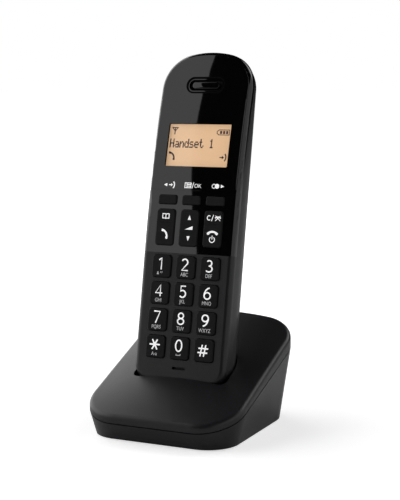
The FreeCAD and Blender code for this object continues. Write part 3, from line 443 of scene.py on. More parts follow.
def hoop(name: str, size: Point, corner: float, front: float, back: float,
         width: float) -> bpy.types.Object:
    """Model an upright plate with round corners and an opening.

    Args:
        name: What the hoop is called.
        size: Its width and height.
        corner: The radius of its corners.
        front: How far back its front is.
        back: How far back its back is.
        width: How wide it is from its outline to its opening.

    Returns:
        The hoop, its middle on the Y axis.
    """
    plate = pill(name, size, corner, front, back, 0.0)
    choose(plate, "faces", lambda face: all(abs(p.y - front) < TOUCH for p in face)
           or all(abs(p.y - back) < TOUCH for p in face))
    bpy.ops.mesh.inset(thickness=width, depth=0.0)
    bpy.ops.mesh.bridge_edge_loops()
    bpy.ops.object.mode_set(mode="OBJECT")
    return plate


def choose(piece: bpy.types.Object, kind: str, test: Callable[[list[Vector]], bool]) -> None:
    """Enter edit mode with just the edges or faces that pass a test selected.

    Args:
        piece: The piece.
        kind: "edges" or "faces".
        test: Called with the corners of each edge or face.
    """
    only(piece)
    bpy.ops.object.mode_set(mode="EDIT")
    bpy.ops.mesh.select_mode(type="EDGE" if kind == "edges" else "FACE")
    bpy.ops.mesh.select_all(action="DESELECT")
    bpy.ops.object.mode_set(mode="OBJECT")
    mesh = piece.data
    for item in getattr(mesh, "edges" if kind == "edges" else "polygons"):
        item.select = test([mesh.vertices[i].co for i in item.vertices])
    bpy.ops.object.mode_set(mode="EDIT")


def smooth(piece: bpy.types.Object, angle: float = 35.0) -> None:
    """Shade a piece smooth across edges flatter than an angle in degrees."""
    only(piece)
    bpy.ops.object.shade_smooth_by_angle(angle=math.radians(angle))


# ---------------------------------------------------------------- flat shapes
def ring_points(centre: Point, radius: float, start: float = 0.0, end: float = 360.0,
                steps: int = 20) -> Loop:
    """List points along an arc.

    Args:
        centre: The arc's centre.
        radius: Its radius.
        start: The angle where it starts, in degrees.
        end: The angle where it ends.
        steps: How many straight steps it has.

    Returns:
        The points.
    """
    return [(centre[0] + radius * math.cos(math.radians(start + (end - start) * i / steps)),
             centre[1] + radius * math.sin(math.radians(start + (end - start) * i / steps)))
            for i in range(steps + 1)]


def oval(x: float, y: float, across: float, up: float, start: float = 0.0,
         end: float = 360.0) -> Loop:
    """List points along part of an ellipse.

    Args:
        x: How far across its middle is.
        y: How far up its middle is.
        across: Half its width.
        up: Half its height.
        start: The angle where the part starts, in degrees.
        end: The angle where it ends.

    Returns:
        The points.
    """
    return [(x + across * px, y + up * py) for px, py in ring_points((0.0, 0.0), 1.0, start, end)]


def digit_strokes(digit: str) -> list[Loop]:
    """Draw one digit, 6 tall, as pen lines from the middle of its foot line.

    Args:
        digit: The digit.

    Returns:
        Its lines.
    """
    tall, top, foot = 6.0, 5.66, 0.34
    if digit == "9":
        return [[(-x, tall - y) for x, y in line] for line in digit_strokes("6")]
    return {
        "0": [oval(0.0, 3.0, 1.62, 2.66)],
        "1": [[(-1.05, 4.55), (0.3, 5.6), (0.3, 0.05)]],
        "2": [oval(-0.1, 4.17, 1.52, 1.49, 155, -28) + [(-1.55, foot), (1.7, foot)]],
        "3": [oval(-0.15, 4.38, 1.35, 1.28, 140, -90) + oval(-0.15, 1.74, 1.68, 1.40, 88, -142)],
        "4": [[(0.8, 0.05), (0.8, 5.5), (-1.75, 1.65), (1.85, 1.65)]],
        "5": [[(1.4, top), (-1.05, top), (-1.2, 3.15)] + oval(-0.15, 1.98, 1.62, 1.64, 125, -142)],
        "6": [oval(0.05, 1.88, 1.6, 1.54), oval(1.35, 1.9, 2.9, 3.72, 96, 180)],
        "7": [[(-1.65, top), (1.6, top), (-0.55, 0.05)]],
        "8": [oval(0.0, 4.38, 1.32, 1.28), oval(0.0, 1.71, 1.62, 1.37)],
    }[digit]


def disc(centre: Point, radius: float) -> Loop:
    """Outline a disc."""
    return ring_points(centre, radius)[:-1]


def band(centre: Point, radius: float, width: float, start: float, end: float) -> Loop:
    """Outline a stroke along an arc.

    Args:
        centre: The arc's centre.
        radius: The radius of the stroke's middle.
        width: The stroke's width.
        start: The angle where it starts, in degrees.
        end: The angle where it ends.

    Returns:
        The outline.
    """
    outer = ring_points(centre, radius + width / 2, start, end)
    return outer + ring_points(centre, radius - width / 2, start, end)[::-1]


def block(x0: float, y0: float, x1: float, y1: float) -> Loop:
    """Outline a rectangle."""
    return [(x0, y0), (x1, y0), (x1, y1), (x0, y1)]


def moved(loop: Loop, dx: float = 0.0, dy: float = 0.0, size: float = 1.0,
          turn: float = 0.0) -> Loop:
    """Turn, scale and then move an outline.

    Args:
        loop: The outline.
        dx: How far to the right it goes.
        dy: How far up it goes.
        size: How much larger it gets.
        turn: How far it turns, in degrees.

    Returns:
        The new outline.
    """
    c, s = math.cos(math.radians(turn)), math.sin(math.radians(turn))
    return [(dx + size * (x * c - y * s), dy + size * (x * s + y * c)) for x, y in loop]


def receiver() -> Loop:
    """Outline a telephone receiver lying face down, about 6 wide and 2 tall.

    Returns:
        The outline.
    """
    centre = (0.0, -3.1)
    grip = ring_points(centre, 4.1, 138, 42)
    right = ring_points(centre, 2.95, 42, 62, 4)
    inner = ring_points(centre, 3.2, 62, 118, 10)
    left = ring_points(centre, 2.95, 118, 138, 4)
    return grip + right + inner + left


def to_ringer() -> list[Loop]:
    """Outline an arrow that points at a ringing arc.

    Returns:
        The outlines.
    """
    arrow = [(-0.4, -0.22), (0.7, -0.22), (0.7, -0.8), (1.7, 0.0), (0.7, 0.8), (0.7, 0.22),
             (-0.4, 0.22)]
    return [arrow, band((0.2, 0.0), 2.35, 0.55, -42, 42)]


def glyph_runs(rows: Sequence[str]) -> Iterable[tuple[int, int, int]]:
    """List the runs of dots in a glyph, from its lowest row.

    Args:
        rows: The glyph's rows, a # for each dot.

    Yields:
        The first column, the column past the last and the row of each run.
    """
    for up, row in enumerate(reversed(rows)):
        for across, dot in enumerate(row):
            if dot == "#" and row[across - 1:across] != "#":
                yield across, across + len(row[across:].split(".")[0]), up


def add_line(data: bpy.types.Curve, line: Loop, closed: bool) -> None:
    """Add a line drawn in millimetres to a curve.

    Args:
        data: The curve.
        line: The line's points.
        closed: Whether its end joins its start.
    """
    spline = data.splines.new("POLY")
    spline.points.add(len(line) - 1)
    for point, (x, y) in zip(spline.points, line):
        point.co = (x * MM, y * MM, 0.0, 1.0)
    spline.use_cyclic_u = closed


def drawn(data: bpy.types.Curve) -> bpy.types.Object:
    """Make a curve a mesh.

    Args:
        data: The curve.

    Returns:
        The mesh, under the curve's name.
    """
    piece = bpy.data.objects.new(data.name, data)
    bpy.context.scene.collection.objects.link(piece)
    only(piece)
    bpy.ops.object.convert(target="MESH")
    return bpy.context.object


@dataclass
class Print:
    """A thin printed layer, drawn flat in millimetres and laid on a surface.

    Attributes:
        name: What the printed piece is called.
        loops: Its outlines; a loop inside another is a hole.
        words: Its words, each with its middle, cap height and stretch.
        strokes: Lines drawn with a round pen.
        pen: The pen's width, in millimetres.
        thick: How thick the layer is, in metres.
        CAP: How tall the font's capitals are, as a part of its size.
    """

    name: str
    loops: list[Loop] = field(default_factory=list)
    words: list[tuple[str, Point, float, float]] = field(default_factory=list)
    strokes: list[Loop] = field(default_factory=list)
    pen: float = 0.68
    thick: float = 0.02 * MM

    CAP = 0.729

    def flat_shapes(self) -> bpy.types.Object:
        """Make the outlines a mesh in the XY plane.

        Returns:
            The mesh.
        """
        data = bpy.data.curves.new(self.name, "CURVE")
        data.dimensions = "2D"
        data.fill_mode = "BOTH"
        data.extrude = self.thick / 2
        for loop in self.loops:
            add_line(data, loop, True)
        return drawn(data)

    def pen_lines(self) -> bpy.types.Object:
        """Make the strokes a mesh in the XY plane.

        Returns:
            The mesh.
        """
        data = bpy.data.curves.new(self.name + "_lines", "CURVE")
        data.dimensions = "3D"
        data.bevel_depth = self.pen / 2 * MM
        data.bevel_resolution = 1
        data.use_fill_caps = True
        for line in self.strokes:
            closed = math.dist(line[0], line[-1]) < 1e-6
            add_line(data, line[:-1] if closed else line, closed)
        flat = Matrix.Diagonal((1.0, 1.0, self.thick / (self.pen * MM), 1.0))
        return bake_place(drawn(data), flat)

    def word(self, text: str, middle: Point, cap: float, stretch: float) -> bpy.types.Object:
        """Make one word a mesh in the XY plane.

        Args:
            text: The word.
            middle: The middle of its capitals, in millimetres.
            cap: The height of its capitals, in millimetres.
            stretch: Its width as a part of the font's own.

        Returns:
            The mesh.
        """
        nothing_selected()
        bpy.ops.object.text_add(location=(0.0, 0.0, 0.0))
        piece = bpy.context.object
        piece.data.body = text
        piece.data.align_x = "CENTER"
        piece.data.size = cap * MM / self.CAP
        piece.data.extrude = self.thick / 2
        only(piece)
        bpy.ops.object.convert(target="MESH")
        return bake_place(bpy.context.object, Matrix.Translation(
            (middle[0] * MM, (middle[1] - cap / 2) * MM, 0.0)) @ Matrix.Diagonal(
                (stretch, 1.0, 1.0, 1.0)))

    def build(self, place: Matrix) -> bpy.types.Object:
        """Make the layer and lay it in its place.

        Args:
            place: Where the drawing's plane goes: its X, Y and Z become the
                surface's right, up and outward.

        Returns:
            The printed piece.
        """
        parts = [self.word(*each) for each in self.words]
        if self.loops:
            parts.append(self.flat_shapes())
        if self.strokes:
            parts.append(self.pen_lines())
        piece = join(self.name, parts)
        only(piece)
        bpy.ops.object.mode_set(mode="EDIT")
        bpy.ops.mesh.select_all(action="SELECT")
        bpy.ops.mesh.remove_doubles(threshold=1e-6)
        bpy.ops.mesh.normals_make_consistent(inside=False)
        bpy.ops.object.mode_set(mode="OBJECT")
        return bake_place(piece, place)


# ---------------------------------------------------------------- handset
class Handset:
    """The handset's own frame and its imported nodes."""

    def __init__(self, frame: dict) -> None:
        """Read the handset's lean from the way that it lifts out.

        Args:
            frame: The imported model.
        """
        self.nodes: Nodes = frame["nodes"]
        lift = next(joint for joint in frame["record"]["behaviour"]["joints"]
                    if joint["name"] == "handset_lift")
        self.lean = math.atan2(lift["axis"][1], lift["axis"][2])
        self.turn = Matrix.Rotation(-self.lean, 4, "X")

    def box(self, name: str) -> tuple[Vector, Vector]:
        """Measure a node in the handset's frame.

        Args:
            name: The node.

        Returns:
            Its lowest and its highest corner.
        """
        back = self.turn.inverted()
        points = [back @ v.co for v in self.nodes[name].data.vertices]
        return (Vector(min(p[i] for p in points) for i in range(3)),
                Vector(max(p[i] for p in points) for i in range(3)))

    def middle(self, name: str) -> Vector:
        """Find the middle of a node in the handset's frame."""
        low, high = self.box(name)
        return (low + high) / 2

    def on(self, name: str, x: float, z: float, proud: float = 0.0) -> Matrix:
        """Find the plane that touches a node's front at a spot.

        Args:
            name: The node.
            x: How far across the spot is, in metres.
            z: How far along the handset it is.
            proud: How far in front of the surface the plane lies.

        Returns:
            The plane's place: X across, Y up and Z out of the surface.
        """
        ahead = self.turn.to_3x3() @ Vector((0.0, 1.0, 0.0))
        start = self.turn @ Vector((x, -IN_FRONT, z))
        hit, spot, normal, _ = self.nodes[name].ray_cast(start, ahead)
        if not hit:
            raise ValueError(f"nothing of {name} at {x:.4f}, {z:.4f}")
        across = Vector((1.0, 0.0, 0.0))
        out = Vector((0.0, normal.y, normal.z)).normalized()
        up = out.cross(across)
        basis = Matrix((across, up, out)).transposed().to_4x4()
        return Matrix.Translation(spot + out * proud) @ basis


@dataclass
class DialLegends:
    """White digits and grey letters on the twelve dial keys, in millimetres.

    Attributes:
        handset: The handset.
        letters: The letters under each figure.
        digit_foot: How far above the key's middle a digit's foot is.
        aside: How far to the right of the key's middle the prints are.
        letter_height: How tall the letters are.
        letter_middle: How far above the key's middle the letters are.
        letter_stretch: Their width as a part of the font's own.
        star_middle: How far above the key's middle the star is.
        reach: How far the arms of the star and the hash sign reach.
        bar: How wide the arms are.
        hash_gap: How far the hash sign's bars are from its middle.
        hash_slant: How wide it is and how far it leans.
    """

    handset: Handset
    letters: dict[str, str] = field(default_factory=lambda: {
        "2": "ABC", "3": "DEF", "4": "GHI", "5": "JKL", "6": "MNO", "7": "PQRS", "8": "TUV",
        "9": "WXYZ", "star": "A-a"})
    digit_foot: float = -1.75
    aside: float = -0.3
    letter_height: float = 1.85
    letter_middle: float = -3.35
    letter_stretch: float = 0.82
    star_middle: float = 0.9
    reach: float = 2.75
    bar: float = 0.68
    hash_gap: float = 1.0
    hash_slant: Point = (0.92, 0.16)

    def star(self) -> Loop:
        """Outline the six-armed star.

        Returns:
            The outline.
        """
        half = self.bar / 2
        arm = [(self.bar, -half), (self.reach, -half), (self.reach, half)]
        loop = [point for turn in range(0, 360, 60) for point in moved(arm, turn=turn)]
        return moved(loop, 0.0, self.star_middle)

    def hash(self) -> list[Loop]:
        """Outline the four strokes of the hash sign.

        Returns:
            Their outline as one shape, and its hole.
        """
        half, arm, gap = self.bar / 2, self.reach, self.hash_gap
        side = [(-gap - half, gap + half), (-gap - half, arm), (-gap + half, arm),
                (-gap + half, gap + half), (gap - half, gap + half), (gap - half, arm),
                (gap + half, arm), (gap + half, gap + half)]
        outline = [p for turn in (0, -90, -180, -270) for p in moved(side, turn=turn)[:-1]]
        hole = block(-gap + half, -gap + half, gap - half, gap - half)
        wide, lean = self.hash_slant
        return [[(x * wide + y * lean, y) for x, y in loop] for loop in (outline, hole)]

    def small_marks(self, key: str) -> list[Loop]:
        """Outline the small marks under 1 and 0.

        Args:
            key: The key's figure.

        Returns:
            The outlines, none for the other keys.
        """
        y = self.letter_middle
        if key == "1":
            bell = [(-1.9, y - 0.7), (-0.7, y - 0.7), (-0.95, y - 0.2), (-1.05, y + 0.55),
                    (-1.3, y + 0.8), (-1.55, y + 0.55), (-1.65, y - 0.2)]
            return [bell, [(0.0, y), (0.25, y), (0.45, y + 0.8), (0.2, y + 0.8)],
                    [(0.7, y), (0.95, y), (1.15, y + 0.8), (0.9, y + 0.8)]]
        if key == "0":
            return [[(-1.2, y + 0.75), (-1.2, y - 0.1), (1.2, y - 0.1), (1.2, y + 0.75),
                     (0.9, y + 0.75), (0.9, y + 0.2), (-0.9, y + 0.2), (-0.9, y + 0.75)]]
        return []

    def build(self) -> None:
        """Print every dial key."""
        for key in (*"0123456789", "star", "hash"):
            name = f"key_{key}"
            middle = self.handset.middle(name)
            place = self.handset.on(name, middle.x, middle.z, LIFT) @ Matrix.Translation(
                (self.aside * MM, 0.0, 0.0))
            main = Print(f"{name}_figure")
            if key == "star":
                main.loops.append(self.star())
            elif key == "hash":
                main.loops += self.hash()
            else:
                main.strokes += [moved(line, 0.0, self.digit_foot)
                                 for line in digit_strokes(key)]
            figure = main.build(place)
            INK_PAINTED_GLOW.dress(figure)
            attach(figure, name)
            under = Print(f"{name}_letters", self.small_marks(key))
            if key in self.letters:
                under.words.append((self.letters[key], (0.0, self.letter_middle),
                                    self.letter_height, self.letter_stretch))
            if under.words or under.loops:
                letters = under.build(place)
                GREY_INK_PAINTED_GLOW.dress(letters)
                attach(letters, name)
            LOG.info("%s printed", name)


@dataclass
class RockerLegends:
    """White signs on the three rocking keys, in millimetres from each key's middle.

    Attributes:
        handset: The handset.
        sign_high: How far up a key's upper sign is.
        sign_low: How far up the raised receiver is.
    """

    handset: Handset
    sign_high: float = 5.3
    sign_low: float = -3.1

    def talk(self) -> Print:
        """Draw an open book above a raised receiver.

        Returns:
            The sign.
        """
        y = self.sign_high
        book = [[(-1.9, y - 1.25), (-0.35, y - 1.25), (0.0, y - 1.5), (0.35, y - 1.25),
                 (1.9, y - 1.25), (1.9, y + 1.25), (0.35, y + 1.25), (0.0, y + 1.0),
                 (-0.35, y + 1.25), (-1.9, y + 1.25)]]
        for side in (-1, 1):
            book.append([(side * px, y + py) for px, py in
                         ((0.2, -0.95), (0.45, -0.83), (1.5, -0.83), (1.5, 0.83),
                          (0.45, 0.83), (0.2, 0.68))])
        return Print("talk_key_sign", book + [moved(receiver(), 0.25, self.sign_low, 0.95, -57)])

    def navigation(self) -> Print:
        """Draw an arrow up, a volume wedge and an arrow down."""
        up = [(-0.85, 3.9), (0.85, 3.9), (0.0, 6.1)]
        wedge = [(-2.0, -0.75), (2.0, -0.75), (2.0, 1.0)]
        return Print("navigation_key_sign", [up, wedge, [(x, -y) for x, y in up]])

    def off(self) -> Print:
        """Draw a clear sign above a lowered receiver and a power sign.

        Returns:
            The sign.
        """
        y, low = self.sign_high, -4.9
        slash = [(-1.15, y - 1.5), (-0.8, y - 1.5), (0.15, y + 1.5), (-0.2, y + 1.5)]
        power = [band((0.0, low), 1.35, 0.4, 125, 415), block(-0.2, low + 0.1, 0.2, low + 1.9)]
        sign = Print("off_key_sign", [slash, moved(receiver(), 0.0, -1.75), *power])
        sign.strokes = [oval(-2.3, y, 0.95, 1.05, 48, 312)]
        sign.pen = 0.42
        return sign

    def mute(self) -> Print:
        """Draw the mute sign, a small receiver crossed out.

        Returns:
            The sign.
        """
        y = self.sign_high
        sign = Print("off_key_mute", [moved(receiver(), 2.3, y + 0.3, 0.55)])
        sign.strokes = [[(1.0, y - 1.25), (3.6, y + 1.15)], [(1.0, y + 1.15), (3.6, y - 1.25)]]
        sign.pen = 0.34
        return sign

    def lay(self, sign: Print, place: Matrix, name: str) -> None:
        """Print one sign on its key.

        Args:
            sign: The sign.
            place: Where it goes.
            name: The key.
        """
        piece = sign.build(place)
        INK_PAINTED_GLOW.dress(piece)
        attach(piece, name)

    def build(self) -> None:
        """Print the three keys."""
        for sign in (self.talk(), self.navigation(), self.off()):
            name = sign.name.removesuffix("_sign")
            middle = self.handset.middle(name)
            place = self.handset.on(name, middle.x, middle.z, LIFT)
            self.lay(sign, place, name)
            if name == "off_key":
                self.lay(self.mute(), place, name)
            LOG.info("%s printed", name)


@dataclass
class LensLegends:
    """White signs on the lens, one above each soft key, in millimetres.

    Attributes:
        handset: The handset.
        above_edge: How far above the lens's lower edge the signs are.
    """

    handset: Handset
    above_edge: float = 2.3

    def left(self) -> Print:
        """Draw an arrowhead to the left and a ringing sign."""
        arrow = [(-3.0, 0.0), (-1.3, -0.85), (-1.3, 0.85)]
        return Print("soft_sign_left", [arrow, *to_ringer()])

    def middle(self) -> Print:
        """Draw a list sign and a word.

        Returns:
            The sign.
        """
        box = [block(-4.6, -1.35, -1.0, 1.35), block(-4.2, -0.95, -3.5, 0.95)]
        box += [block(-3.2, level, -1.35, level + 0.35) for level in (-0.95, -0.2, 0.6)]
        slash = [(-0.75, -1.4), (-0.4, -1.4), (0.35, 1.4), (0.0, 1.4)]
        sign = Print("soft_sign_middle", [*box, slash])
        sign.words.append(("OK", (2.4, -0.05), 1.95, 0.95))
        return sign

    def right(self) -> Print:
        """Draw a switch sign and an arrowhead to the right."""
        ring = band((-1.7, 0.0), 0.95, 0.34, 48, 312)
        arrow = [(3.6, 0.0), (1.9, -0.85), (1.9, 0.85)]
        return Print("soft_sign_right", [ring, disc((-0.1, 0.0), 1.15), arrow])

    def build(self) -> None:
        """Print the lens."""
        low, _ = self.handset.box("display_lens")
        for side, sign in (("left", self.left()), ("middle", self.middle()),
                           ("right", self.right())):
            x = self.handset.middle(f"soft_key_{side}").x
            place = self.handset.on("display_lens", x, low.z + self.above_edge * MM, LIFT)
            piece = sign.build(place)
            INK_PAINTED_GLOW.dress(piece)
            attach(piece, "handset")
            LOG.info("%s printed", sign.name)


@dataclass
class Display:
    """The lit display: its signs and one line of dots, in millimetres from its middle.

    Attributes:
        handset: The handset.
        width: The window's width.
        height: The window's height.
        shift: How far the drawing is moved from the middle.
        dot: A dot's width and height.
        gap: The part of a dot's height left clear below it.
        spread: How far a run of dots spreads at each end.
        step: How many columns of dots each letter takes.
        text: The line of text.
        text_start: How far its lower left corner is in from the window's left
            side and down from its top.
        glyphs: The dots of each letter, a row at a time.
    """

    handset: Handset
    width: float = 32.9
    height: float = 21.0
    shift: Point = (-0.35, 0.2)
    dot: Point = (0.44, 0.63)
    gap: float = 0.015
    spread: float = 0.08
    step: int = 6
    text: str = "Handset 1"
    text_start: Point = (0.9, 11.9)
    glyphs: dict[str, tuple[str, ...]] = field(default_factory=lambda: {
        "H": ("#...#", "#...#", "#...#", "#####", "#...#", "#...#", "#...#"),
        "a": (".....", ".....", ".###.", "....#", ".####", "#...#", ".####"),
        "n": (".....", ".....", "#.##.", "##..#", "#...#", "#...#", "#...#"),
        "d": ("....#", "....#", ".##.#", "#..##", "#...#", "#...#", ".####"),
        "s": (".....", ".....", ".###.", "#....", ".###.", "....#", "####."),
        "e": (".....", ".....", ".###.", "#...#", "#####", "#....", ".###."),
        "t": (".#...", ".#...", "###..", ".#...", ".#...", ".#..#", "..##."),
        "1": ("..#..", ".##..", "..#..", "..#..", "..#..", "..#..", ".###."),
        " ": (".....",) * 7})

    def line(self, left: float, low: float) -> list[Loop]:
        """Outline the dots of the line of text.

        Args:
            left: Where its left end is.
            low: Where its foot is.

        Returns:
            One outline for each run of dots.
        """
        across, up = self.dot
        return [block(left + across * (self.step * place + start) - self.spread,
                      low + up * (row + self.gap),
                      left + across * (self.step * place + end) + self.spread,
                      low + up * (row + 1))
                for place, letter in enumerate(self.text)
                for start, end, row in glyph_runs(self.glyphs[letter])]

    def signs(self) -> list[Loop]:
        """Outline the aerial, the battery, the receiver and the ringing sign.

        Returns:
            The outlines.
        """
        x, y = -self.width / 2, self.height / 2
        aerial = [(x + 1.0, y - 1.8), (x + 4.8, y - 1.8), (x + 3.15, y - 3.7),
                  (x + 3.15, y - 5.4), (x + 2.65, y - 5.4), (x + 2.65, y - 3.7)]
        notch = [(x + 1.9, y - 2.2), (x + 2.65, y - 2.2), (x + 2.65, y - 3.1)]
        other = [(2 * (x + 2.9) - px, py) for px, py in notch]
        cell = [(x + 25.2, y - 3.6), (x + 26.3, y - 2.7), (x + 32.0, y - 2.7),
                (x + 32.0, y - 5.5), (x + 26.3, y - 5.5), (x + 25.2, y - 4.6)]
        inside = [(x + 25.6, y - 3.8), (x + 26.5, y - 3.05), (x + 31.65, y - 3.05),
                  (x + 31.65, y - 5.15), (x + 26.5, y - 5.15), (x + 25.6, y - 4.4)]
        bars = [block(x + 26.9 + 1.6 * i, y - 4.85, x + 28.0 + 1.6 * i, y - 3.35)
                for i in range(3)]
        lifted = moved(receiver(), x + 2.9, y - 15.8, 0.9, -52)
        return [aerial, notch, other, cell, inside, *bars, lifted,
                *(moved(loop, x + 28.6, y - 16.3, 1.12) for loop in to_ringer())]

    def build(self) -> Vector:
        """Draw the display.

        Returns:
            The middle of the window, on the lens.
        """
        AMBER.dress(self.handset.nodes["lcd_module"])
        middle = self.handset.middle("lcd_module")
        drawing = Print("display_signs", self.signs())
        drawing.loops += self.line(-self.width / 2 + self.text_start[0],
                                   self.height / 2 - self.text_start[1])
        drawing.loops = [moved(loop, *self.shift) for loop in drawing.loops]
        piece = drawing.build(self.handset.on("lcd_module", middle.x, middle.z, LIFT))
        CRYSTAL.dress(piece)
        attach(piece, "handset")
        place = self.handset.on("display_lens", middle.x, middle.z)
        out = place.col[2]
        lens = PrintedLens("printed_lens", PIANO.colour, PIANO.roughness, PIANO.bite,
                           depth=PIANO.depth, sheen=PIANO.sheen,
                           middle=tuple(place.translation), lean=math.atan2(out.z, -out.y),
                           size=(self.width * MM, self.height * MM))
        lens.dress(self.handset.nodes["display_lens"])
        LOG.info("display drawn")
        return place.translation


@dataclass
class Earpiece:
    """A dark ring round the earpiece slot, painted shade for the slot's shaded chamfer, and the
    lip and the bar in it, in metres.

    Attributes:
        handset: The handset.
        slot: The slot's width and height.
        gasket: How wide the painted shade ring is outside the slot, and half its thickness.
        lip: How wide the lip is.
        bar: The bar's width and height.
        sunk: How far behind the face the lip starts.
        stem: How far behind the face the lip and the bar end.
        straight: How much of a rounded end is left straight.
        ease: How much the bar's front edge is eased.
    """

    handset: Handset
    slot: Point = (0.0191, 0.0069)
    gasket: Point = (0.0007, 0.0001)
    lip: float = 0.0007
    bar: Point = (0.0142, 0.0034)
    sunk: float = 0.0003
    stem: float = 0.0022
    straight: float = 0.0001
    ease: float = 0.00035

    def place(self) -> Matrix:
        """Find the middle of the slot in the lens, upright and square to the face.

        Returns:
            The place: X across, Y back and Z up along the face.
        """
        back = self.handset.turn.inverted()
        near = self.handset.middle("earpiece_screen")
        rim = [p for p in (back @ v.co for v in self.handset.nodes["display_lens"].data.vertices)
               if abs(p.x) < self.slot[0] / 2 and abs(p.z - near.z) < self.slot[1]]
        level = (min(p.z for p in rim) + max(p.z for p in rim)) / 2
        beside = self.handset.on("display_lens", self.slot[0] / 2 + 2 * MM, level)
        centre = self.handset.turn @ Vector((0.0, (back @ beside.translation).y, level))
        beside.translation = centre
        return beside @ Matrix.Rotation(-math.pi / 2, 4, "X")

    def build(self) -> None:
        """Model the painted shade ring, the lip and the bar, and set them in the slot."""
        plane = self.place()
        (wide, high), (rim, level) = self.slot, self.gasket
        # The shade ring is painted shade: a flat dark ring in place of the slot's shaded chamfer.
        gasket = hoop("earpiece_gasket", (wide + 2 * rim, high + 2 * rim),
                      high / 2 + rim - self.straight, -level, level, rim + self.straight)
        lip = hoop("earpiece_lip", self.slot, high / 2 - self.straight, self.sunk, self.stem,
                   self.lip)
        bar = pill("earpiece_bar", self.bar, (self.bar[1] - self.straight) / 2,
                   self.sunk / 2, self.stem, self.ease)
        for piece, finish in ((gasket, CHAMFER_SHADE), (lip, PIANO), (bar, PIANO)):
            smooth(piece)
            bake_place(piece, plane)
            finish.dress(piece)
            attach(piece, "handset")
            LOG.info("%s set in its slot", piece.name)


# ---------------------------------------------------------------- studio
@dataclass(frozen=True)
class Softbox:
    """One rectangular soft light.

    Attributes:
        name: What the light is called.
        middle: Where its centre is.
        aim: The point that it faces.
        size: Its width and height.
        radiance: How bright its face is, 1 for white.
        roll: How far it is turned about its own line of sight, in degrees.
    """

    name: str
    middle: Place
    aim: Place
    size: Point
    radiance: float
    roll: float = 0.0

    def hang(self) -> None:
        """Hang the light."""
        data = bpy.data.lights.new(self.name, "AREA")
        data.shape = "RECTANGLE"
        data.size, data.size_y = self.size
        data.energy = LIGHT_POWER * self.radiance * self.size[0] * self.size[1]
        light = bpy.data.objects.new(self.name, data)
        bpy.context.scene.collection.objects.link(light)
        look = (Vector(self.aim) - Vector(self.middle)).to_track_quat("-Z", "Y")
        light.matrix_world = (Matrix.Translation(Vector(self.middle))
                              @ look.to_matrix().to_4x4()
                              @ Matrix.Rotation(math.radians(self.roll), 4, "Z"))
        light.visible_camera = False


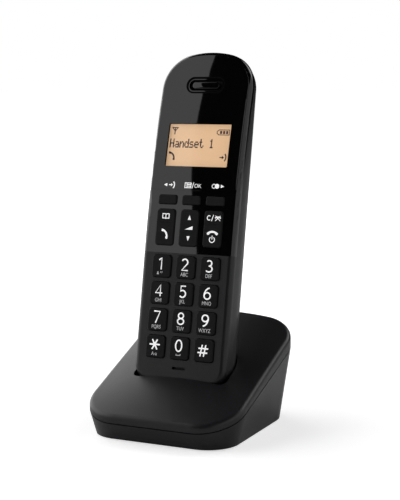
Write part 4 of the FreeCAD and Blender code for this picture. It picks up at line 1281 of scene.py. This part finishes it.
@dataclass
class Studio:
    """A white floor, soft lights and the camera.

    Attributes:
        stand: Where the camera stands.
        turn: How far it turns to the left, in degrees.
        down: How far it looks down.
        roll: How far it tilts to its left.
        lens: Its focal length, in millimetres.
        sensor: How wide its sensor is, in millimetres.
        near_clip: The nearest thing that it sees.
        surroundings: How bright the surroundings are to the object.
        floor_side: How long the floor's sides are.
        floor_tone: How pale the floor is.
        floor_near: How far from the object the floor starts to fade to white,
            and how much of the white it has there.
        floor_far: How far from the object the floor is all white.
        lights: The lights.
    """

    stand: Place = (0.2741845, -0.5535632, 0.1705433)
    turn: float = 25.91
    down: float = 7.89
    roll: float = -0.44
    lens: float = 94.11
    sensor: float = 36.0
    near_clip: float = 0.01
    surroundings: float = 0.015
    floor_side: float = 16.0
    floor_tone: float = 0.84
    floor_near: Point = (0.08, 0.55)
    floor_far: Point = (0.7, 1.0)
    lights: tuple[Softbox, ...] = (
        Softbox("front_left", (-0.80, -0.9473, 0.7403), (0.0, -0.9473, 0.7403), (1.0, 2.2), 1.0,
                roll=24.8),
        Softbox("left_wall", (-0.80, 0.30, 0.55), (0.0, 0.30, 0.55), (1.6, 1.30), 1.80),
        Softbox("right_wall", (0.85, -0.10, 0.45), (0.0, -0.10, 0.45), (2.2, 0.9), 0.66),
        Softbox("back_right", (0.62, 1.0, 1.05), (0.0, 0.0, 0.05), (1.0, 0.8), 1.9),
    )

    def camera(self) -> None:
        """Stand the camera in front of the object, off to the right and a little above."""
        data = bpy.data.cameras.new("camera")
        data.lens = self.lens
        data.sensor_width = self.sensor
        data.clip_start = self.near_clip
        camera = bpy.data.objects.new("camera", data)
        bpy.context.scene.collection.objects.link(camera)
        turn, down, roll = (math.radians(a) for a in (self.turn, self.down, self.roll))
        forward = Vector((-math.sin(turn) * math.cos(down), math.cos(turn) * math.cos(down),
                          -math.sin(down)))
        level = Vector((math.cos(turn), math.sin(turn), 0.0))
        above = level.cross(forward)
        right = math.cos(roll) * level + math.sin(roll) * above
        up = math.cos(roll) * above - math.sin(roll) * level
        facing = Matrix((right, up, -forward)).transposed().to_4x4()
        camera.matrix_world = Matrix.Translation(Vector(self.stand)) @ facing
        bpy.context.scene.camera = camera

    def world(self) -> None:
        """Make the surroundings white to the eye and dim to the object."""
        world = bpy.data.worlds.new("studio")
        bpy.context.scene.world = world
        world.use_nodes = True
        tree = world.node_tree
        back = tree.nodes["Background"]
        back.inputs["Color"].default_value = (1.0, 1.0, 1.0, 1.0)
        seen = tree.nodes.new("ShaderNodeLightPath").outputs["Is Camera Ray"]
        strength = sum_up(tree, "MAXIMUM", seen, self.surroundings)
        tree.links.new(strength, back.inputs["Strength"])

    def floor(self) -> None:
        """Lay the pale floor, which fades to white away from the object."""
        nothing_selected()
        bpy.ops.mesh.primitive_plane_add(size=self.floor_side, location=(0.0, 0.0, 0.0))
        floor = bpy.context.object
        floor.name = "floor"
        made = bpy.data.materials.new("pale_floor")
        made.use_nodes = True
        tree = made.node_tree
        shader = tree.nodes["Principled BSDF"]
        shader.inputs["Base Color"].default_value = (*(self.floor_tone,) * 3, 1.0)
        shader.inputs["Roughness"].default_value = 0.8
        shader.inputs["Specular IOR Level"].default_value = 0.1
        shader.inputs["Emission Color"].default_value = (1.0, 1.0, 1.0, 1.0)
        away = tree.nodes.new("ShaderNodeVectorMath")
        away.operation = "LENGTH"
        place = tree.nodes.new("ShaderNodeTexCoord")
        tree.links.new(place.outputs["Object"], away.inputs[0])
        fade = tree.nodes.new("ShaderNodeMapRange")
        for title, (far, white) in (("Min", self.floor_near), ("Max", self.floor_far)):
            fade.inputs[f"From {title}"].default_value = far
            fade.inputs[f"To {title}"].default_value = white
        tree.links.new(away.outputs["Value"], fade.inputs["Value"])
        seen = tree.nodes.new("ShaderNodeLightPath").outputs["Is Camera Ray"]
        tree.links.new(sum_up(tree, "MULTIPLY", fade.outputs["Result"], seen),
                       shader.inputs["Emission Strength"])
        floor.data.materials.append(made)

    def build(self) -> None:
        """Set up the studio."""
        self.camera()
        for light in self.lights:
            light.hang()
        self.world()
        self.floor()
        bpy.context.scene.view_settings.view_transform = "Standard"
        LOG.info("studio ready")


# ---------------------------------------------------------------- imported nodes
FINISHES: dict[str, Finish] = {
    "front_cabinet": CASE, "rear_shell": CASE, "battery_cover": CASE, "base_top_shell": CASE,
    "base_bottom_shell": CASE, "page_button": KEY_TOP, "upper_panel": PIANO,
    "display_lens": PIANO, "keypad_membrane": MEMBRANE, "handset_circuit_board": BOARD,
    "base_circuit_board": BOARD, "lcd_module": AMBER, "lcd_backlight": DIFFUSER,
    "battery_cell_left": SLEEVE, "battery_cell_right": SLEEVE, "battery_holder": INNER,
    "base_feet": PADS, "line_jack": INNER, "power_inlet": INNER, "earpiece_screen": CLOTH,
    "microphone": CLOTH, "handset_charge_contacts": GILT, "base_charge_contacts": GILT,
}


def dress_nodes(nodes: Nodes) -> None:
    """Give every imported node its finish.

    Of the nodes that FINISHES leaves out, the keys are key plastic and the rest are steel.

    Args:
        nodes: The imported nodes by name.
    """
    for name, piece in nodes.items():
        finish = FINISHES.get(name, KEY_TOP if "key" in name else STEEL)
        finish.dress(piece)
        LOG.info("%s: %s", name, finish.name)


def main() -> None:
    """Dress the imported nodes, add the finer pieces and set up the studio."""
    logging.basicConfig(level=logging.INFO, format="%(name)s: %(message)s")
    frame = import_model()
    nothing_selected()
    dress_nodes(frame["nodes"])
    handset = Handset(frame)
    for group in (DialLegends(handset), RockerLegends(handset), LensLegends(handset),
                  Display(handset), Earpiece(handset)):
        group.build()
    Studio().build()
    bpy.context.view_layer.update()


if __name__ == "__main__":
    main()
